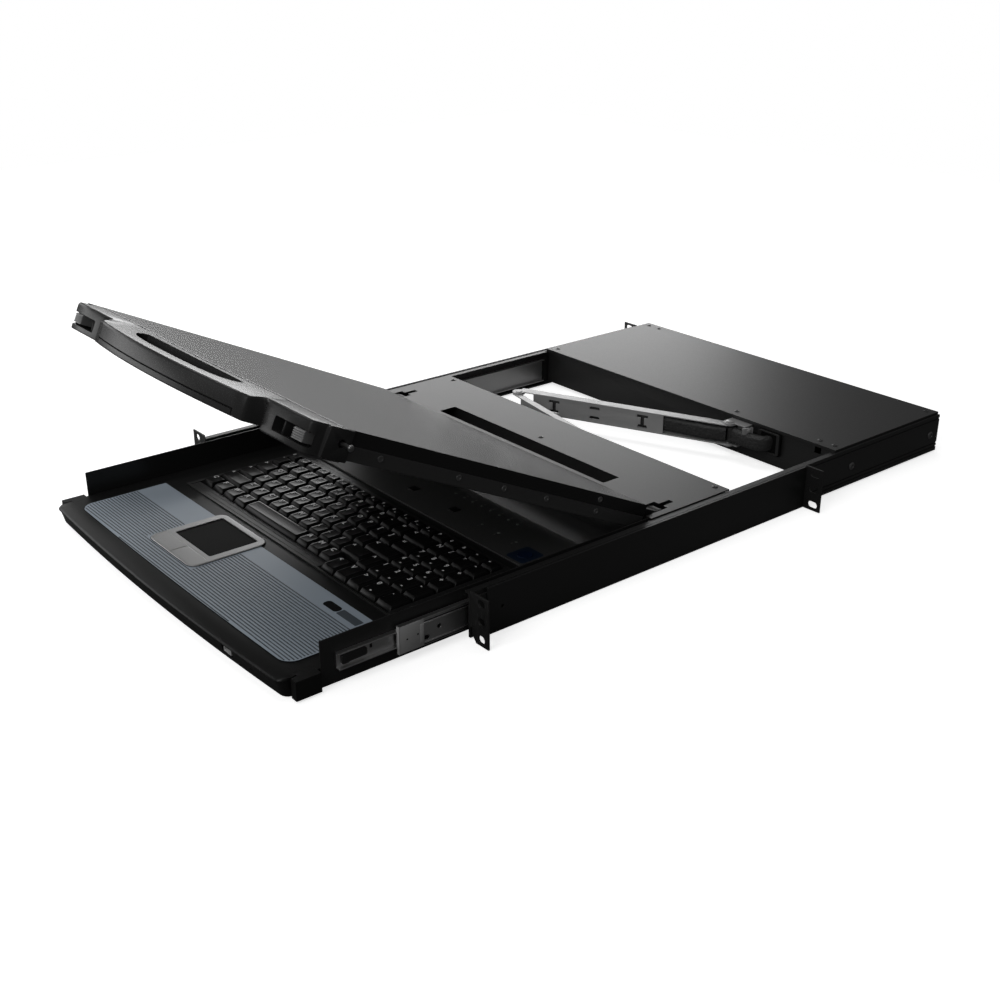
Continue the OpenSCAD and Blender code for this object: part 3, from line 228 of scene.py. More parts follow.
# %% Lamps
LOOKED_AT = seat(0, 150, 20)
LAMPS = {"back_lamp": ((-2.3, 1.92, 0.64), 1.8, 0.6, 20),
         "side_lamp": ((-1.3, -0.12, 0.44), 0.6, 0.3, 1),
         "left_lamp": ((-0.78, -0.5, 0.22), 0.5, 0.26, 1),
         "handle_lamp": ((-0.9, -1.1, 0.8), 0.4, 0.3, 0.5),
         "edge_lamp": ((-1.1, 0.1, 1.25), 0.35, 0.35, 2),
         "front_lamp": ((0.6, -2.2, 1.9), 1.6, 1.2, 26),
         "top_lamp": ((-0.3, 0.2, 2.6), 1.4, 1.4, 12)}


def softbox(name, place, width, height, watts):
    """A square lamp at a place in metres that faces the middle of the console."""
    bpy.ops.object.light_add(type="AREA", location=place)
    lamp = bpy.context.object
    lamp.name = name
    lamp.data.shape = "RECTANGLE"
    lamp.data.size, lamp.data.size_y = width, height
    lamp.data.energy = watts
    lamp.rotation_euler = (Vector(place) - LOOKED_AT).to_track_quat("Z", "Y").to_euler()


for name, values in LAMPS.items():
    softbox(name, *values)
print("lamps", len(LAMPS))

# %% [markdown]
# Nearly every part is painted or moulded black, and what tells them apart is gloss and grain.
# One builder makes all these finishes: two close shades mixed by a soft cloud, a roughness that
# drifts a little, and a fine bump. A bump of a tenth of a millimetre with grains under a
# millimetre reads as powder coat, and a stretched one as brushed or rolled metal.

# %% Finish builder
FINISHES = {}


def finish(name, dark, light, rough, metal=0.0, grain=900, bump=0.1, depth=0.0001, cloud=6,
           spread=0.06, stretch=(1, 1, 1), level=0.5):
    """A procedural finish on Object coordinates. Shades are linear greys or colours."""
    material, tree = new_material(name)
    place = add(tree, "TexCoord").outputs["Object"]
    clouds = add(tree, "TexNoise", Vector=place, Scale=cloud, Detail=5)
    shape = add(tree, "Mapping", Vector=place, Scale=stretch)
    grains = add(tree, "TexNoise", Vector=shape, Scale=grain, Detail=3)
    shades = add(tree, "Mix", settings=[("data_type", "RGBA")], Factor=clouds, A=shade(dark),
                 B=shade(light))
    drift = add(tree, "MapRange", grains, To_Min=rough - spread, To_Max=rough + spread)
    relief = add(tree, "Bump", Strength=bump, Distance=depth, Height=grains)
    shader = add(tree, "BsdfPrincipled", Base_Color=shades.outputs["Result"], Metallic=metal,
                 Roughness=drift, Normal=relief, Specular_IOR_Level=level)
    add(tree, "OutputMaterial", shader)
    FINISHES[name] = material


finish("black_steel", 0.010, 0.014, 0.42)
print("first finish", list(FINISHES))

# %% [markdown]
# Now the finishes themselves. The blacks lie close together, so they differ in roughness and in
# how strongly they mirror: the keys and the touchpad have a weak mirror, or the wide lamp would
# turn them grey, and the lid is the smoothest sheet. The palm film is a cool pale grey, and its
# grooves get a darker one, painted shade inside them. The slides are bare steel with a grain
# along them.

# %% Finishes of the console
finish("bracket_steel", 0.40, 0.48, 0.38, metal=0.5, grain=500)
finish("lid_paint", 0.010, 0.013, 0.25, level=0.3, bump=0, spread=0)
finish("frame_paint", 0.034, 0.040, 0.42)
finish("hinge_steel", 0.008, 0.011, 0.46)
finish("deck_paint", 0.009, 0.012, 0.34, level=0.17)
finish("slide_steel", 0.52, 0.62, 0.34, metal=1.0, grain=220, stretch=(1, 0.04, 1), bump=0.15)
finish("arm_metal", 0.42, 0.48, 0.42, metal=0.45, grain=300, stretch=(0.2, 0.2, 1), bump=0.1)
finish("screw_steel", 0.35, 0.45, 0.32, metal=1.0, grain=700)
finish("dark_screw", 0.02, 0.03, 0.38, grain=700)
finish("rail_screw", 0.12, 0.16, 0.34, metal=0.6, grain=700)
finish("pin_steel", 0.22, 0.28, 0.34, metal=1.0, grain=700)
finish("cable_sleeve", 0.006, 0.035, 0.5, grain=420, bump=1.0, depth=0.0012, cloud=420)
finish("black_plastic", 0.012, 0.016, 0.42, grain=1300, bump=0.18)
finish("handle_plastic", 0.026, 0.030, 0.27, grain=1300, bump=0.05, level=0.11, spread=0.02)
# A lighter grey than the handle: a painted highlight for the ridge bead, glossy as well so it also
# mirrors the lamps.
finish("edge_sheen", 0.05, 0.06, 0.25, level=1.0)
finish("key_plastic", 0.005, 0.006, 0.3, grain=1600, bump=0.1, level=0.13)
finish("palm_film", (0.33, 0.385, 0.445), (0.36, 0.418, 0.48), 0.4, grain=1500, bump=0.05)
# A darker grey: painted shade inside the palm film's grooves, and the paler plate of the badge.
finish("film_groove", (0.06, 0.075, 0.09), (0.07, 0.085, 0.10), 0.5)
finish("silver_plastic", 0.46, 0.50, 0.3, grain=1500, bump=0.05, metal=0.6)
finish("touch_surface", 0.009, 0.012, 0.3, grain=1800, bump=0.1, level=0.14)
finish("latch_grey", 0.16, 0.20, 0.42, grain=1500, bump=0.05)
finish("blue_button", (0.003, 0.010, 0.034), (0.004, 0.013, 0.042), 0.4, level=0.2)
finish("lens", (0.20, 0.22, 0.21), (0.26, 0.28, 0.26), 0.2)
finish("strip_film", 0.045, 0.052, 0.5, grain=1500, bump=0.05)
finish("button_black", 0.004, 0.005, 0.4, level=0.3)
finish("blue_film", (0.008, 0.016, 0.034), (0.009, 0.018, 0.04), 0.4, level=0.2)
finish("circuit_board", (0.01, 0.05, 0.02), (0.012, 0.07, 0.03), 0.4)
finish("socket_metal", 0.45, 0.55, 0.28, metal=1.0)
finish("port_metal", 0.55, 0.65, 0.35, metal=0.3)
finish("display", 0.006, 0.008, 0.12, bump=0.0)
finish("key_ink", 0.80, 0.86, 0.6)
finish("faint_ink", 0.16, 0.20, 0.6)
finish("white_plastic", 0.36, 0.42, 0.4, grain=1400, bump=0.05)
# The darkest black: painted shade in gaps, grooves and recesses, and the badge's own dark plate.
finish("gap_black", 0.003, 0.004, 0.7, level=0.1)
print("finishes", len(FINISHES))

# %% [markdown]
# Each piece below is made by the same hand steps: pick it, edit it, copy it, put its place into
# its mesh. They are helpers here, so that the later cells show only shapes.

# %% Handling pieces
from contextlib import contextmanager


def deselect():
    """Leaves edit mode and selects nothing."""
    if bpy.context.object and bpy.context.object.mode != "OBJECT":
        bpy.ops.object.mode_set(mode="OBJECT")
    bpy.ops.object.select_all(action="DESELECT")


def pick(piece):
    """Selects one piece and makes it the active one."""
    deselect()
    piece.hide_set(False)
    piece.select_set(True)
    bpy.context.view_layer.objects.active = piece
    return piece


@contextmanager
def editing(piece):
    """Edit mode with all of a piece selected, left again at the end."""
    pick(piece)
    bpy.ops.object.mode_set(mode="EDIT")
    bpy.ops.mesh.select_all(action="SELECT")
    yield
    bpy.ops.object.mode_set(mode="OBJECT")


def apply_place(piece):
    """Puts a piece's place into its mesh, so that its object sits at the origin."""
    pick(piece)
    bpy.ops.object.transform_apply(location=True, rotation=True, scale=True)
    return piece


def copied(piece, name):
    """A copy with its own mesh."""
    pick(piece)
    bpy.ops.object.duplicate()
    twin = bpy.context.object
    twin.name = name
    return twin


# %% [markdown]
# Smooth shading alone makes a large flat face look swollen next to a round edge. So every edge
# that bends enough gets a bevel, and a weighted normal leans the shading on the large faces.

# %% Edges and shading
BEND, SMOOTH = 30, 40


def smooth(piece, angle=SMOOTH):
    """Smooth shading over edges that bend less than an angle in degrees."""
    pick(piece)
    bpy.ops.object.shade_smooth_by_angle(angle=math.radians(angle))
    return piece


def bevel(piece, width, segments=2):
    """Rounds a piece's edges by a width in millimetres, and smooths what the rounding made."""
    pick(piece)
    edge = piece.modifiers.new("bevel", "BEVEL")
    edge.width, edge.segments = width * MM, segments
    edge.limit_method, edge.angle_limit = "ANGLE", math.radians(BEND)
    bpy.ops.object.modifier_apply(modifier=edge.name)
    return smooth(piece)


def even(piece):
    """Leans the shading on the large faces, so that they look flat up to their round edges."""
    pick(piece)
    lean = piece.modifiers.new("even", "WEIGHTED_NORMAL")
    lean.keep_sharp, lean.weight = True, 90
    bpy.ops.object.modifier_apply(modifier=lean.name)
    return piece


print("edges that bend over", BEND, "degrees get a bevel")

# %% [markdown]
# Sheet steel is never sharp: a folded or sheared edge catches a thin line of light. So each
# solid that already has its right shape is copied, its loose triangles are merged, its flat
# faces are joined again, and its edges get a bevel. The copy stands for the solid.

# %% Dressing a solid
MERGE = 0.000002
NODE_BODY = {node: body_of(solid)[0] for node, solid in frame["nodes"].items()}
NODE_SLOT = {entry["node"]: entry["material_slot"] for entry in frame["record"]["subparts"]}


def ready(piece, slot, node, replaces=False):
    """Gives a piece its finish and the body of a solid, and may let it stand for that solid."""
    piece.data.materials.clear()
    piece.data.materials.append(FINISHES[slot])
    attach(piece, NODE_BODY[node])
    if replaces:
        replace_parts(piece, node)
    return piece


def copy_node(node, name):
    """A copy of a solid with its triangles merged and its flat faces joined."""
    piece = copied(frame["nodes"][node], name)
    piece.parent = None
    for key in list(piece.keys()):
        del piece[key]
    with editing(piece):
        bpy.ops.mesh.remove_doubles(threshold=MERGE)
        bpy.ops.mesh.dissolve_limited(angle_limit=math.radians(1))
    return apply_place(piece)


def dress(node, width, slot=None):
    """A copy of a solid with rounded edges that stands for it, on the same body."""
    piece = even(bevel(copy_node(node, node + "_edged"), width))
    return ready(piece, slot or NODE_SLOT[node], node, replaces=True)


print("bodies of the first nodes", {node: NODE_BODY[node] for node in list(NODE_BODY)[:3]})

# %% [markdown]
# The other pieces start from a block or a drawn outline at its place, and get their shape from
# cuts and rounded edges. A cut is a boolean with a tool that is thrown away.

# %% Blocks, outlines and cuts
def block(name, x, y, z):
    """A closed block between two corners of the drawing."""
    low, high = seat(x[0], y[0], z[0]), seat(x[1], y[1], z[1])
    deselect()
    bpy.ops.mesh.primitive_cube_add(size=1, location=(low + high) / 2)
    piece = bpy.context.object
    piece.name, piece.scale = name, high - low
    return apply_place(piece)


def arc(x, y, radius, angles):
    """Points round a centre at some angles, in degrees."""
    return [(x + radius * math.cos(math.radians(a)), y + radius * math.sin(math.radians(a)))
            for a in angles]


def rounded(x, y, radius, steps=8):
    """The points of a rectangle with round corners, anticlockwise."""
    left, right, low, high = x[0] + radius, x[1] - radius, y[0] + radius, y[1] - radius
    corners = ((right, high, 0), (left, high, 90), (left, low, 180), (right, low, 270))
    return [point for cx, cy, start in corners
            for point in arc(cx, cy, radius, [start + 90 * i / steps for i in range(steps + 1)])]


def cut(piece, *tools):
    """Cuts tools out of a piece and throws them away."""
    for tool in tools:
        pick(piece)
        knife = piece.modifiers.new("cut", "BOOLEAN")
        knife.operation, knife.solver, knife.object = "DIFFERENCE", "EXACT", tool
        bpy.ops.object.modifier_apply(modifier=knife.name)
        bpy.data.objects.remove(tool)
    return piece


def join(name, pieces):
    """Several pieces as one mesh."""
    deselect()
    for piece in pieces:
        piece.select_set(True)
    bpy.context.view_layer.objects.active = pieces[0]
    bpy.ops.object.join()
    pieces[0].name = name
    return pieces[0]


print("a corner has", len(rounded((0, 1), (0, 1), 0.2)) // 4, "points")

# %% [markdown]
# Pieces of the lid are drawn lying closed and turned with the lid when they are finished. What
# stands on both sides is made once for the right and mirrored, which keeps the two exactly alike.

# %% Copies, pairs and the lid
def mirrored(piece, name):
    """The same piece on the other side of the console, with its faces turned out again."""
    twin = copied(piece, name)
    twin.scale = (-1, 1, 1)
    apply_place(twin)
    with editing(twin):
        bpy.ops.mesh.normals_make_consistent(inside=False)
    return twin


def moved(piece, name, x, y, z=0):
    """A copy with its own mesh, moved by millimetres."""
    twin = copied(piece, name)
    twin.location = Vector((x, y, z)) * MM
    return apply_place(twin)


def with_lid(piece):
    """Turns a piece drawn on the closed lid to where the lid stands."""
    piece.matrix_world = LID_TURN @ piece.matrix_world
    return apply_place(piece)


def both_sides(piece, left_name, slot, node, replaces=False, lid=False):
    """Finishes a piece of the right side and its mirror image, each on its side's body."""
    twin = mirrored(piece, left_name)
    for one, side in ((twin, "left"), (piece, "right")):
        ready(with_lid(one) if lid else one, slot, node.replace("right", side), replaces)


print("the lid turns by", LID_OPEN, "degrees")

# %% [markdown]
# The sheet metal first: rails, ears, brackets, the box and the drawer's pan. Their shapes are
# right as they are, so each gets only its edges, a third of a millimetre wide as on folded
# steel, and a little wider on the thick plastic mouldings. The notch in the tray and the slot
# in the slides' inner members show in the photograph, so they are cut out of the copies.

# %% Edges of the sheet metal and the mouldings
EDGES = {"rails": 0.3, "front_ears": 0.3, "slide_outers": 0.25, "rear_bracket_right": 0.3,
         "rear_bracket_left": 0.3, "box_tray": 0.3, "box_cover": 0.3, "rear_panel": 0.25,
         "power_inlet": 0.4, "power_switch": 0.5, "cable_bush": 0.8, "arm_bracket": 0.25,
         "rear_arm": 0.25, "front_arm": 0.25, "slide_middle_right": 0.25,
         "slide_middle_left": 0.25, "slide_inners": 0.25, "drawer_pan": 0.3, "deck": 0.2,
         "keyboard_case": 0.5, "control_panel": 0.3, "rear_plate": 0.3, "arm_anchor": 0.25,
         "hinge_bases": 0.4, "hinge_arms": 0.4, "lid_cover": 0.45, "lid_frame": 0.5,
         "port_button_up": 0.4, "port_button_down": 0.4, "port_sockets": 0.25}
OWN_FINISH = {"deck": "deck_paint", "hinge_bases": "hinge_steel", "hinge_arms": "hinge_steel",
              "lid_cover": "lid_paint", "lid_frame": "frame_paint", "control_panel": "strip_film",
              "port_button_up": "button_black", "port_button_down": "button_black"}
dressed = {node: dress(node, width, OWN_FINISH.get(node)) for node, width in EDGES.items()}
cut(dressed["box_tray"], block("notch_tool", (190, 198), (462, 468), (34, 43.1)))
slot_hole = block("hole_tool", (204, 213), (-89, -86.6), (20.6, 24.4))
cut(dressed["slide_inners"], slot_hole, mirrored(slot_hole, "hole_tool_left"))
print("edged", len(EDGES))

# %% [markdown]
# Some shapes need more than a block. A prism is an outline that is drawn and extruded, a turned
# piece is a half profile that is spun round its axis, and a loft is a skin over rings of points,
# for bodies whose section changes along their length, which no single extrusion gives.

# %% Prisms, turned pieces and lofts
WAYS = {"X": (1, 0, 0), "Y": (0, 1, 0), "Z": (0, 0, 1)}


def drawn(name, points, edges, faces):
    """A mesh of points of the drawing, in millimetres."""
    mesh = bpy.data.meshes.new(name)
    mesh.from_pydata([seat(*p) for p in points], edges, faces)
    piece = bpy.data.objects.new(name, mesh)
    bpy.context.collection.objects.link(piece)
    return piece


def outward(piece):
    """Merges double points and turns every face outwards."""
    with editing(piece):
        bpy.ops.mesh.remove_doubles(threshold=MERGE)
        bpy.ops.mesh.normals_make_consistent(inside=False)
    return piece


def prism(name, points, low, high, axis="Z"):
    """An outline across an axis, extruded along it. Outlines are (x, y), (x, z) or (y, z)."""
    place = {"Z": lambda a, b: (a, b, low), "Y": lambda a, b: (a, low, b),
             "X": lambda a, b: (low, a, b)}[axis]
    piece = drawn(name, [place(a, b) for a, b in points], [], [range(len(points))])
    with editing(piece):
        bpy.ops.mesh.extrude_region_move(
            TRANSFORM_OT_translate={"value": Vector(WAYS[axis]) * (high - low) * MM})
    return outward(piece)


def turned(name, at, axis, profile, sides=24):
    """A half profile of (distance, radius) along an axis through a point, spun round it."""
    side = {"X": (0, 1, 0), "Y": (0, 0, 1), "Z": (1, 0, 0)}[axis]
    way = Vector(WAYS[axis])
    profile = [(profile[0][0], 0), *profile, (profile[-1][0], 0)]
    points = [Vector(at) + way * along + Vector(side) * radius for along, radius in profile]
    piece = drawn(name, points, [(i, i + 1) for i in range(len(points) - 1)], [])
    with editing(piece):
        bpy.ops.mesh.spin(steps=sides, angle=2 * math.pi, center=seat(*at), axis=way)
    return smooth(outward(piece), 35)


def loft(name, rings, angle=40):
    """A skin over rings of points that all have the same count, closed at both ends."""
    count = len(rings[0])
    faces = [(i * count + j, i * count + (j + 1) % count, (i + 1) * count + (j + 1) % count,
              (i + 1) * count + j) for i in range(len(rings) - 1) for j in range(count)]
    faces += [range(count), range((len(rings) - 1) * count, len(rings) * count)]
    piece = outward(drawn(name, [p for ring in rings for p in ring], [], faces))
    return smooth(piece, angle)


print("ways", list(WAYS))

# %% [markdown]
# The handle is one black moulding along the lid's front. Its middle is a bow that stands out to a
# curved front, and a valley sets it off from the block at each end. The front changes all along
# the width, so no extrusion would give it: the skin is lofted over sections across it, every one
# with a rounded top and lower edge. Half the stations are listed, and the rest are their mirror.

# %% Skin of the handle
GRIP_FRONT, GRIP_SAG, GRIP_HALF = -184.5, 14, 125
GRIP_BACK, LOW_ROUND, TOP_ROUND = -132.2, 1.2, 2.6


def bow(x, depth=0):
    """The curved front of the grip at a place across the lid, or a line some way behind it."""
    return GRIP_FRONT + depth + GRIP_SAG * (x / GRIP_HALF) ** 2


def ridge(x):
    """Where the handle's top meets the lid's cover: a line that bows out in the middle."""
    return -135.6 - 7.2 * max(1 - (x / 104) ** 2, 0)


def grip_ring(x, front, low, top, lean):
    """A section of the handle with a rounded lower and upper front edge."""
    lower = arc(front + LOW_ROUND, low + LOW_ROUND, LOW_ROUND, (270, 240, 210, 180))
    upper = arc(front - lean + TOP_ROUND, top - TOP_ROUND, TOP_ROUND, (180, 158, 135, 112, 90))
    outline = [(GRIP_BACK, low), *lower, *upper, (ridge(x), 42.4), (GRIP_BACK, 42.6)]
    return [(x, y, z) for y, z in outline]


BOW = [(x, bow(x), 18.8, 38.4, 0) for x in [12.5 * i for i in range(11)]]
VALLEY = [(125.9, -169.6, 18.8, 38.6, 0), (126.7, -167, 18.8, 38.9, 1),
          (127.6, -161, 18.8, 39.6, 4), (128.8, -154, 18.7, 40.4, 8), (130.4, -150, 18.5, 41, 9),
          (132.4, -149.6, 18.2, 41.3, 9), (134.6, -152.4, 17.9, 41.5, 7),
          (136.6, -157.4, 17.5, 41.7, 3), (138.6, -160.2, 17.3, 41.8, 0.6)]
END = [(x, -161, 17.2, 41.9, 0) for x in (141, 168, 195)]
END += [(196.6, -160.3, 17.2, 41.9, 0), (197.8, -158.5, 17.3, 41.9, 0),
        (198.6, -156, 17.4, 41.9, 0), (198.9, -150, 17.5, 41.9, 0),
        (199.4, -148.6, 17.5, 41.9, 0), (203.1, -148.4, 17.6, 41.9, 0)]
half = BOW + VALLEY + END
handle = loft("grip", [grip_ring(-x, *rest) for x, *rest in reversed(half[1:])]
              + [grip_ring(x, *rest) for x, *rest in half], 50)
print("stations", 2 * len(half) - 1)

# %% [markdown]
# Behind the bow lies a long finger slot, pointed at both ends. The blocks at the ends have a
# window for the latch, and a line sets the rubber bumper off from the front. All of these are
# openings in one moulding, so they are cut from its skin with drawn tools.

# %% Slot, windows and bumper line
LATCH_Y, LATCH_Z = -135.4, 31.4
SLOT = [(0, -172), (14, -171.8), (34, -171.2), (48.7, -169.8), (62, -167.3), (73, -163.4),
        (80.6, -157.8), (82.6, -152), (81.5, -147.6), (60, -147.8), (30, -148.6)]
slot_plan = SLOT + [(0, -149)] + [(-x, y) for x, y in reversed(SLOT[1:])]
line_back = [(x, bow(x, 1.7)) for x in [11.5 * i for i in range(10, -11, -1)]]


def strip(depth):
    """The plan of a strip along the bumper line, from behind the front to some way before it."""
    return line_back + [(x, y - depth) for x, y in reversed(line_back)]


tools = [prism("slot_tool", slot_plan, 30, 50), prism("line_tool", strip(3), 23.8, 25.1)]
for side in (-1, 1):
    window = rounded(sorted((side * 153.5, side * 198.6)), (22, 33.2), 1.6)
    tools.append(prism("window_tool", window, -170, -136, "Y"))
    ends = sorted((side * 114.2, side * 115.4))
    tools.append(block("end_tool", ends, (-178, -169.6), (17, 25.1)))
    tools.append(turned("pin_tool", (side * 190, LATCH_Y, LATCH_Z), "X", [(0, 3), (side * 20, 3)]))
smooth(cut(handle, *tools), 50)
print("cuts", len(tools))

# %% [markdown]
# Some parts of the moulding are easier to add than to cut: the cheek at each side, with the hole
# that the latch's pin comes through, and the scoop in the window where the thumb rests. A thin
# bead along the ridge is glossy and a lighter grey than the handle, a painted highlight along the
# edge, and a black strip in the bumper line is painted shade that makes the line read as deep.

# %% Cheeks, scoops and bead
CHEEK = [(-150, 19), (-149, 18.4), (-127.4, 18.4), (-127.4, 42.4), (-147.6, 42.4), (-148.8, 41.4)]
SCOOP = [(155, -150), (157.6, -152), (160, -155.2), (161.8, -157.4), (163.2, -158),
         (163.9, -157.2), (163.9, -146), (155, -146)]
extra = []
for side in (-1, 1):
    plate = prism("cheek", CHEEK, *sorted((side * 203.1, side * 204.5)), "X")
    hole = turned("pin_tool", (side * 200, LATCH_Y, LATCH_Z), "X", [(0, 3.1), (side * 9, 3.1)])
    extra.append(bevel(cut(plate, hole), 0.3))
    plan_points = [(side * x, y) for x, y in SCOOP]
    extra.append(bevel(prism("scoop", plan_points, 22, 33.2), 0.2, 1))
bead = loft("bead", [[(x, y, z) for y, z in arc(ridge(x), 42.3, 0.6, range(0, 360, 45))]
                     for x in (-199, *range(-190, 191, 10), 199)], 60)
# The bead's lighter grey is a painted highlight along the ridge.
ready(with_lid(bead), "edge_sheen", "handle")
# The black strip is painted shade in the bumper line.
ready(with_lid(prism("bumper_gap", strip(0.7), 23.9, 25)), "gap_black", "handle")
grip = ready(with_lid(join("handle_grip", [handle, *extra])), "handle_plastic", "handle", True)
print("handle faces", len(grip.data.polygons))

# %% [markdown]
# Each latch is a ribbed slider in its window with a steel pin that bolts the lid into the rail's
# end. The ribs run across the thumb, so they are drawn in the section and extruded sideways. The
# pin is turned with its domed head. One latch is made, and the other is its mirror image.

# %% Latches
RIB_FRONT, RIB_BACK, RIB_PITCH = -161.3, -160.5, 1.66
ribs = [(-140, 24)]
for i in range(5):
    z = 24 + i * RIB_PITCH
    ribs += [(RIB_FRONT, z + 0.1), (RIB_FRONT, z + 1.05), (RIB_BACK, z + 1.2), (RIB_BACK, z + 1.58)]
ribs += [(RIB_BACK, 32.4), (-140, 32.4)]
thumb = bevel(prism("thumb", ribs, 179.5, 193.5, "X"), 0.12, 1)
pin = turned("pin", (186, LATCH_Y, LATCH_Z), "X",
             [(0, 1.7), (28.4, 1.7), (28.6, 2.5), (29.6, 2.5), (30.4, 2.1), (30.8, 1.2)], 28)
stem = block("stem", (182, 192), (-141, -133.9), (24.4, 32))
latch = join("latch_right_slider", [thumb, stem])
both_sides(pin, "latch_left_pin", "pin_steel", "latch_right", lid=True)
both_sides(latch, "latch_left_slider", "latch_grey", "latch_right", replaces=True, lid=True)
print("rib points", len(ribs))

# %% [markdown]
# The drawer's front edge is a moulding that bows forward, with a rounded lip over a face that
# leans in below it. Its section is lofted along the edge and turns in at both ends. The two blocks
# that fill the corners are drawn and extruded, and the port's recess is a cut.

# %% Front bezel
BEZEL = [(x, -171.5 + 6 * (x / 201) ** 2) for x in range(-195, 196, 15)]
CORNER = [(197.4, -165.4), (199.4, -164.4), (201, -162.8), (202, -160.8), (202.4, -158)]
BLOCK = [(198.4, -150), (203.4, -150), (204.4, -156.5), (211.4, -156.5), (211.4, -134.1),
         (198.4, -134.1)]


def bezel_ring(x, front):
    """A section of the bezel: the lip on top and the leaning face."""
    lip = [(0.1, 15.7), (0, 16.1), (0.1, 16.4), (1.5, 17.75), (2.1, 18)]
    face = [(5.2, 1.6), (4.6, 2.3), (1.6, 14.4), (1.2, 15.3)]
    outline = [(front + y, z) for y, z in face + lip]
    return [(x, y, z) for y, z in [(-150, 1.6), *outline, (-150, 18)]]


stations = [(-x, y) for x, y in reversed(CORNER)] + BEZEL + CORNER
bezel = loft("bezel_front", [bezel_ring(x, y) for x, y in stations], 50)
port = block("port_tool", (119, 134.2), (-175, -151), (6.9, 15))
pinhole = turned("pinhole_tool", (160, -175, 8.6), "Y", [(0, 0.9), (20, 0.9)])
smooth(cut(bezel, port, pinhole), 32)
corner = prism("corner", BLOCK, 1.4, 18)
twin = mirrored(corner, "corner_left")
corners = [even(bevel(piece, 0.3)) for piece in (corner, twin)]
ready(join("bezel_front", [bezel, *corners]), "deck_paint", "front_bezel", True)
# A block of painted shade at the back of the port's recess, darker than the deck.
ready(block("port_back", (118.6, 134.6), (-151.2, -150.2), (6.5, 15.4)), "gap_black",
      "front_bezel")
print("bezel sections", len(stations))

# %% [markdown]
# The palm rest is a pale film with fine ridges along it. A striped texture would look flat, as
# the ridges catch the light one by one, so they are cut: a groove of trapezoid section every
# three millimetres, ending at a border and at the touchpad. The rows stop where the film lies
# smooth behind them, and the faces inside the grooves get a darker grey, painted shade in the
# grooves.

# %% Palm rest
PANEL_HALF, PANEL_ROUND, ROUND_Y, PANEL_TOP = 186, 13, -136, 18.5
GROOVE_PITCH, GROOVE_FLOOR, GROOVE_BORDER = 3.02, 18.15, 1.4
inner_half = PANEL_HALF - PANEL_ROUND
front_y = ROUND_Y - PANEL_ROUND
panel = arc(-inner_half, ROUND_Y, PANEL_ROUND, range(180, 271, 9))
panel += [(inner_half * i / 10, front_y - 2 * (1 - (i / 10) ** 2)) for i in range(-9, 10)]
panel += arc(inner_half, ROUND_Y, PANEL_ROUND, range(270, 361, 9))
panel += [(PANEL_HALF, -61), (-PANEL_HALF, -61)]


def groove_spans(row):
    """From where to where the groove of a row runs, left and right of the touchpad."""
    sink = max(ROUND_Y - row, 0)
    reach = inner_half - GROOVE_BORDER + math.sqrt(max(PANEL_ROUND ** 2 - sink ** 2, 0))
    if row < front_y:
        return [(-100, 100)]
    if row < -131:
        return [(-reach, reach)]
    return [(-reach, -86.2)] * (row < -89) + [(-0.8, reach)]


palm = prism("palm_rest", panel, 18, PANEL_TOP)
grooves = []
row = -149.4
while row < -81:
    section = [(row - 0.78, 18.6), (row - 0.4, GROOVE_FLOOR), (row + 0.4, GROOVE_FLOOR),
               (row + 0.78, 18.6)]
    grooves += [prism("groove", section, *span, "X") for span in groove_spans(row)]
    row += GROOVE_PITCH
cut(palm, join("groove_tool", grooves),
    prism("frame_tool", rounded((-85.2, -1.8), (-129.9, -50), 9.7), 17, 20))
ready(palm, "palm_film", "palm_panel", True)
palm.data.materials.append(FINISHES["film_groove"])
# The faces inside the grooves take the darker grey: painted shade in the grooves.
for face in palm.data.polygons:
    face.material_index = int(seat(0, 0, 18.1).z < face.center.z < seat(0, 0, 18.47).z)
print("grooves", len(grooves))

# %% [markdown]
# A dark gap runs round the film, and a small badge sits at its right end. The gap is painted
# shade: the same outline, a little larger, just under the film and darker than the deck. The
# badge is left without its lettering: a dark plate and a paler one, a few hundredths of a
# millimetre thick, so that they catch an edge.

# %% Gap and badge
PANEL_MIDDLE = -105
# The gap round the film is painted shade: a darker plate just under its edge.
gap = [(x * 1.0035, (y - PANEL_MIDDLE) * 1.013 + PANEL_MIDDLE) for x, y in panel]
ready(prism("panel_gap", gap, 17.9, 18.04), "gap_black", "palm_panel")
badge = prism("badge", rounded((121, 141), (-76.7, -68.3), 3.5), PANEL_TOP, 18.58)
ready(badge, "gap_black", "palm_panel")
plain = prism("badge_side", rounded((142, 170), (-76.7, -68.3), 1), PANEL_TOP, 18.56)
ready(plain, "film_groove", "palm_panel")
print("gap points", len(gap))

# %% [markdown]
# The touchpad sits in a pillowy silver frame. The frame is drawn and its upper edge gets a wide
# round bevel; the pad lies deeper, so its opening shows an inner lip. The two buttons are cut out
# of the same drawing, a little smaller, so that they can sink by half a millimetre.

# %% Touchpad
PAD_X, PAD_Y, PAD_ROUND = (-84.5, -2.5), (-129.25, -52.75), 9


def plan(inset, low, high, name):
    """The plan of the touchpad frame, set in by some millimetres and extruded."""
    x, y = ((low_end + inset, high_end - inset) for low_end, high_end in (PAD_X, PAD_Y))
    return prism(name, rounded(x, y, PAD_ROUND - inset), low, high)


pad_frame = bevel(plan(0, 18, 19.3, "pad_frame"), 0.9, 4)
cut(pad_frame, prism("pad_tool", rounded((-76, -11), (-106.8, -58.4), 2.4), 17, 21),
    cut(plan(1.6, 17, 21, "button_tool"), block("back_tool", (-90, 0), (-111.3, -40), (16, 22))))
ready(even(smooth(pad_frame)), "silver_plastic", "touchpad_bezel", True)
pad = bevel(prism("pad_face", rounded((-75.7, -11.3), (-106.5, -58.7), 2.2), 17.3, 18.45), 0.2, 1)
ready(pad, "touch_surface", "touchpad", True)
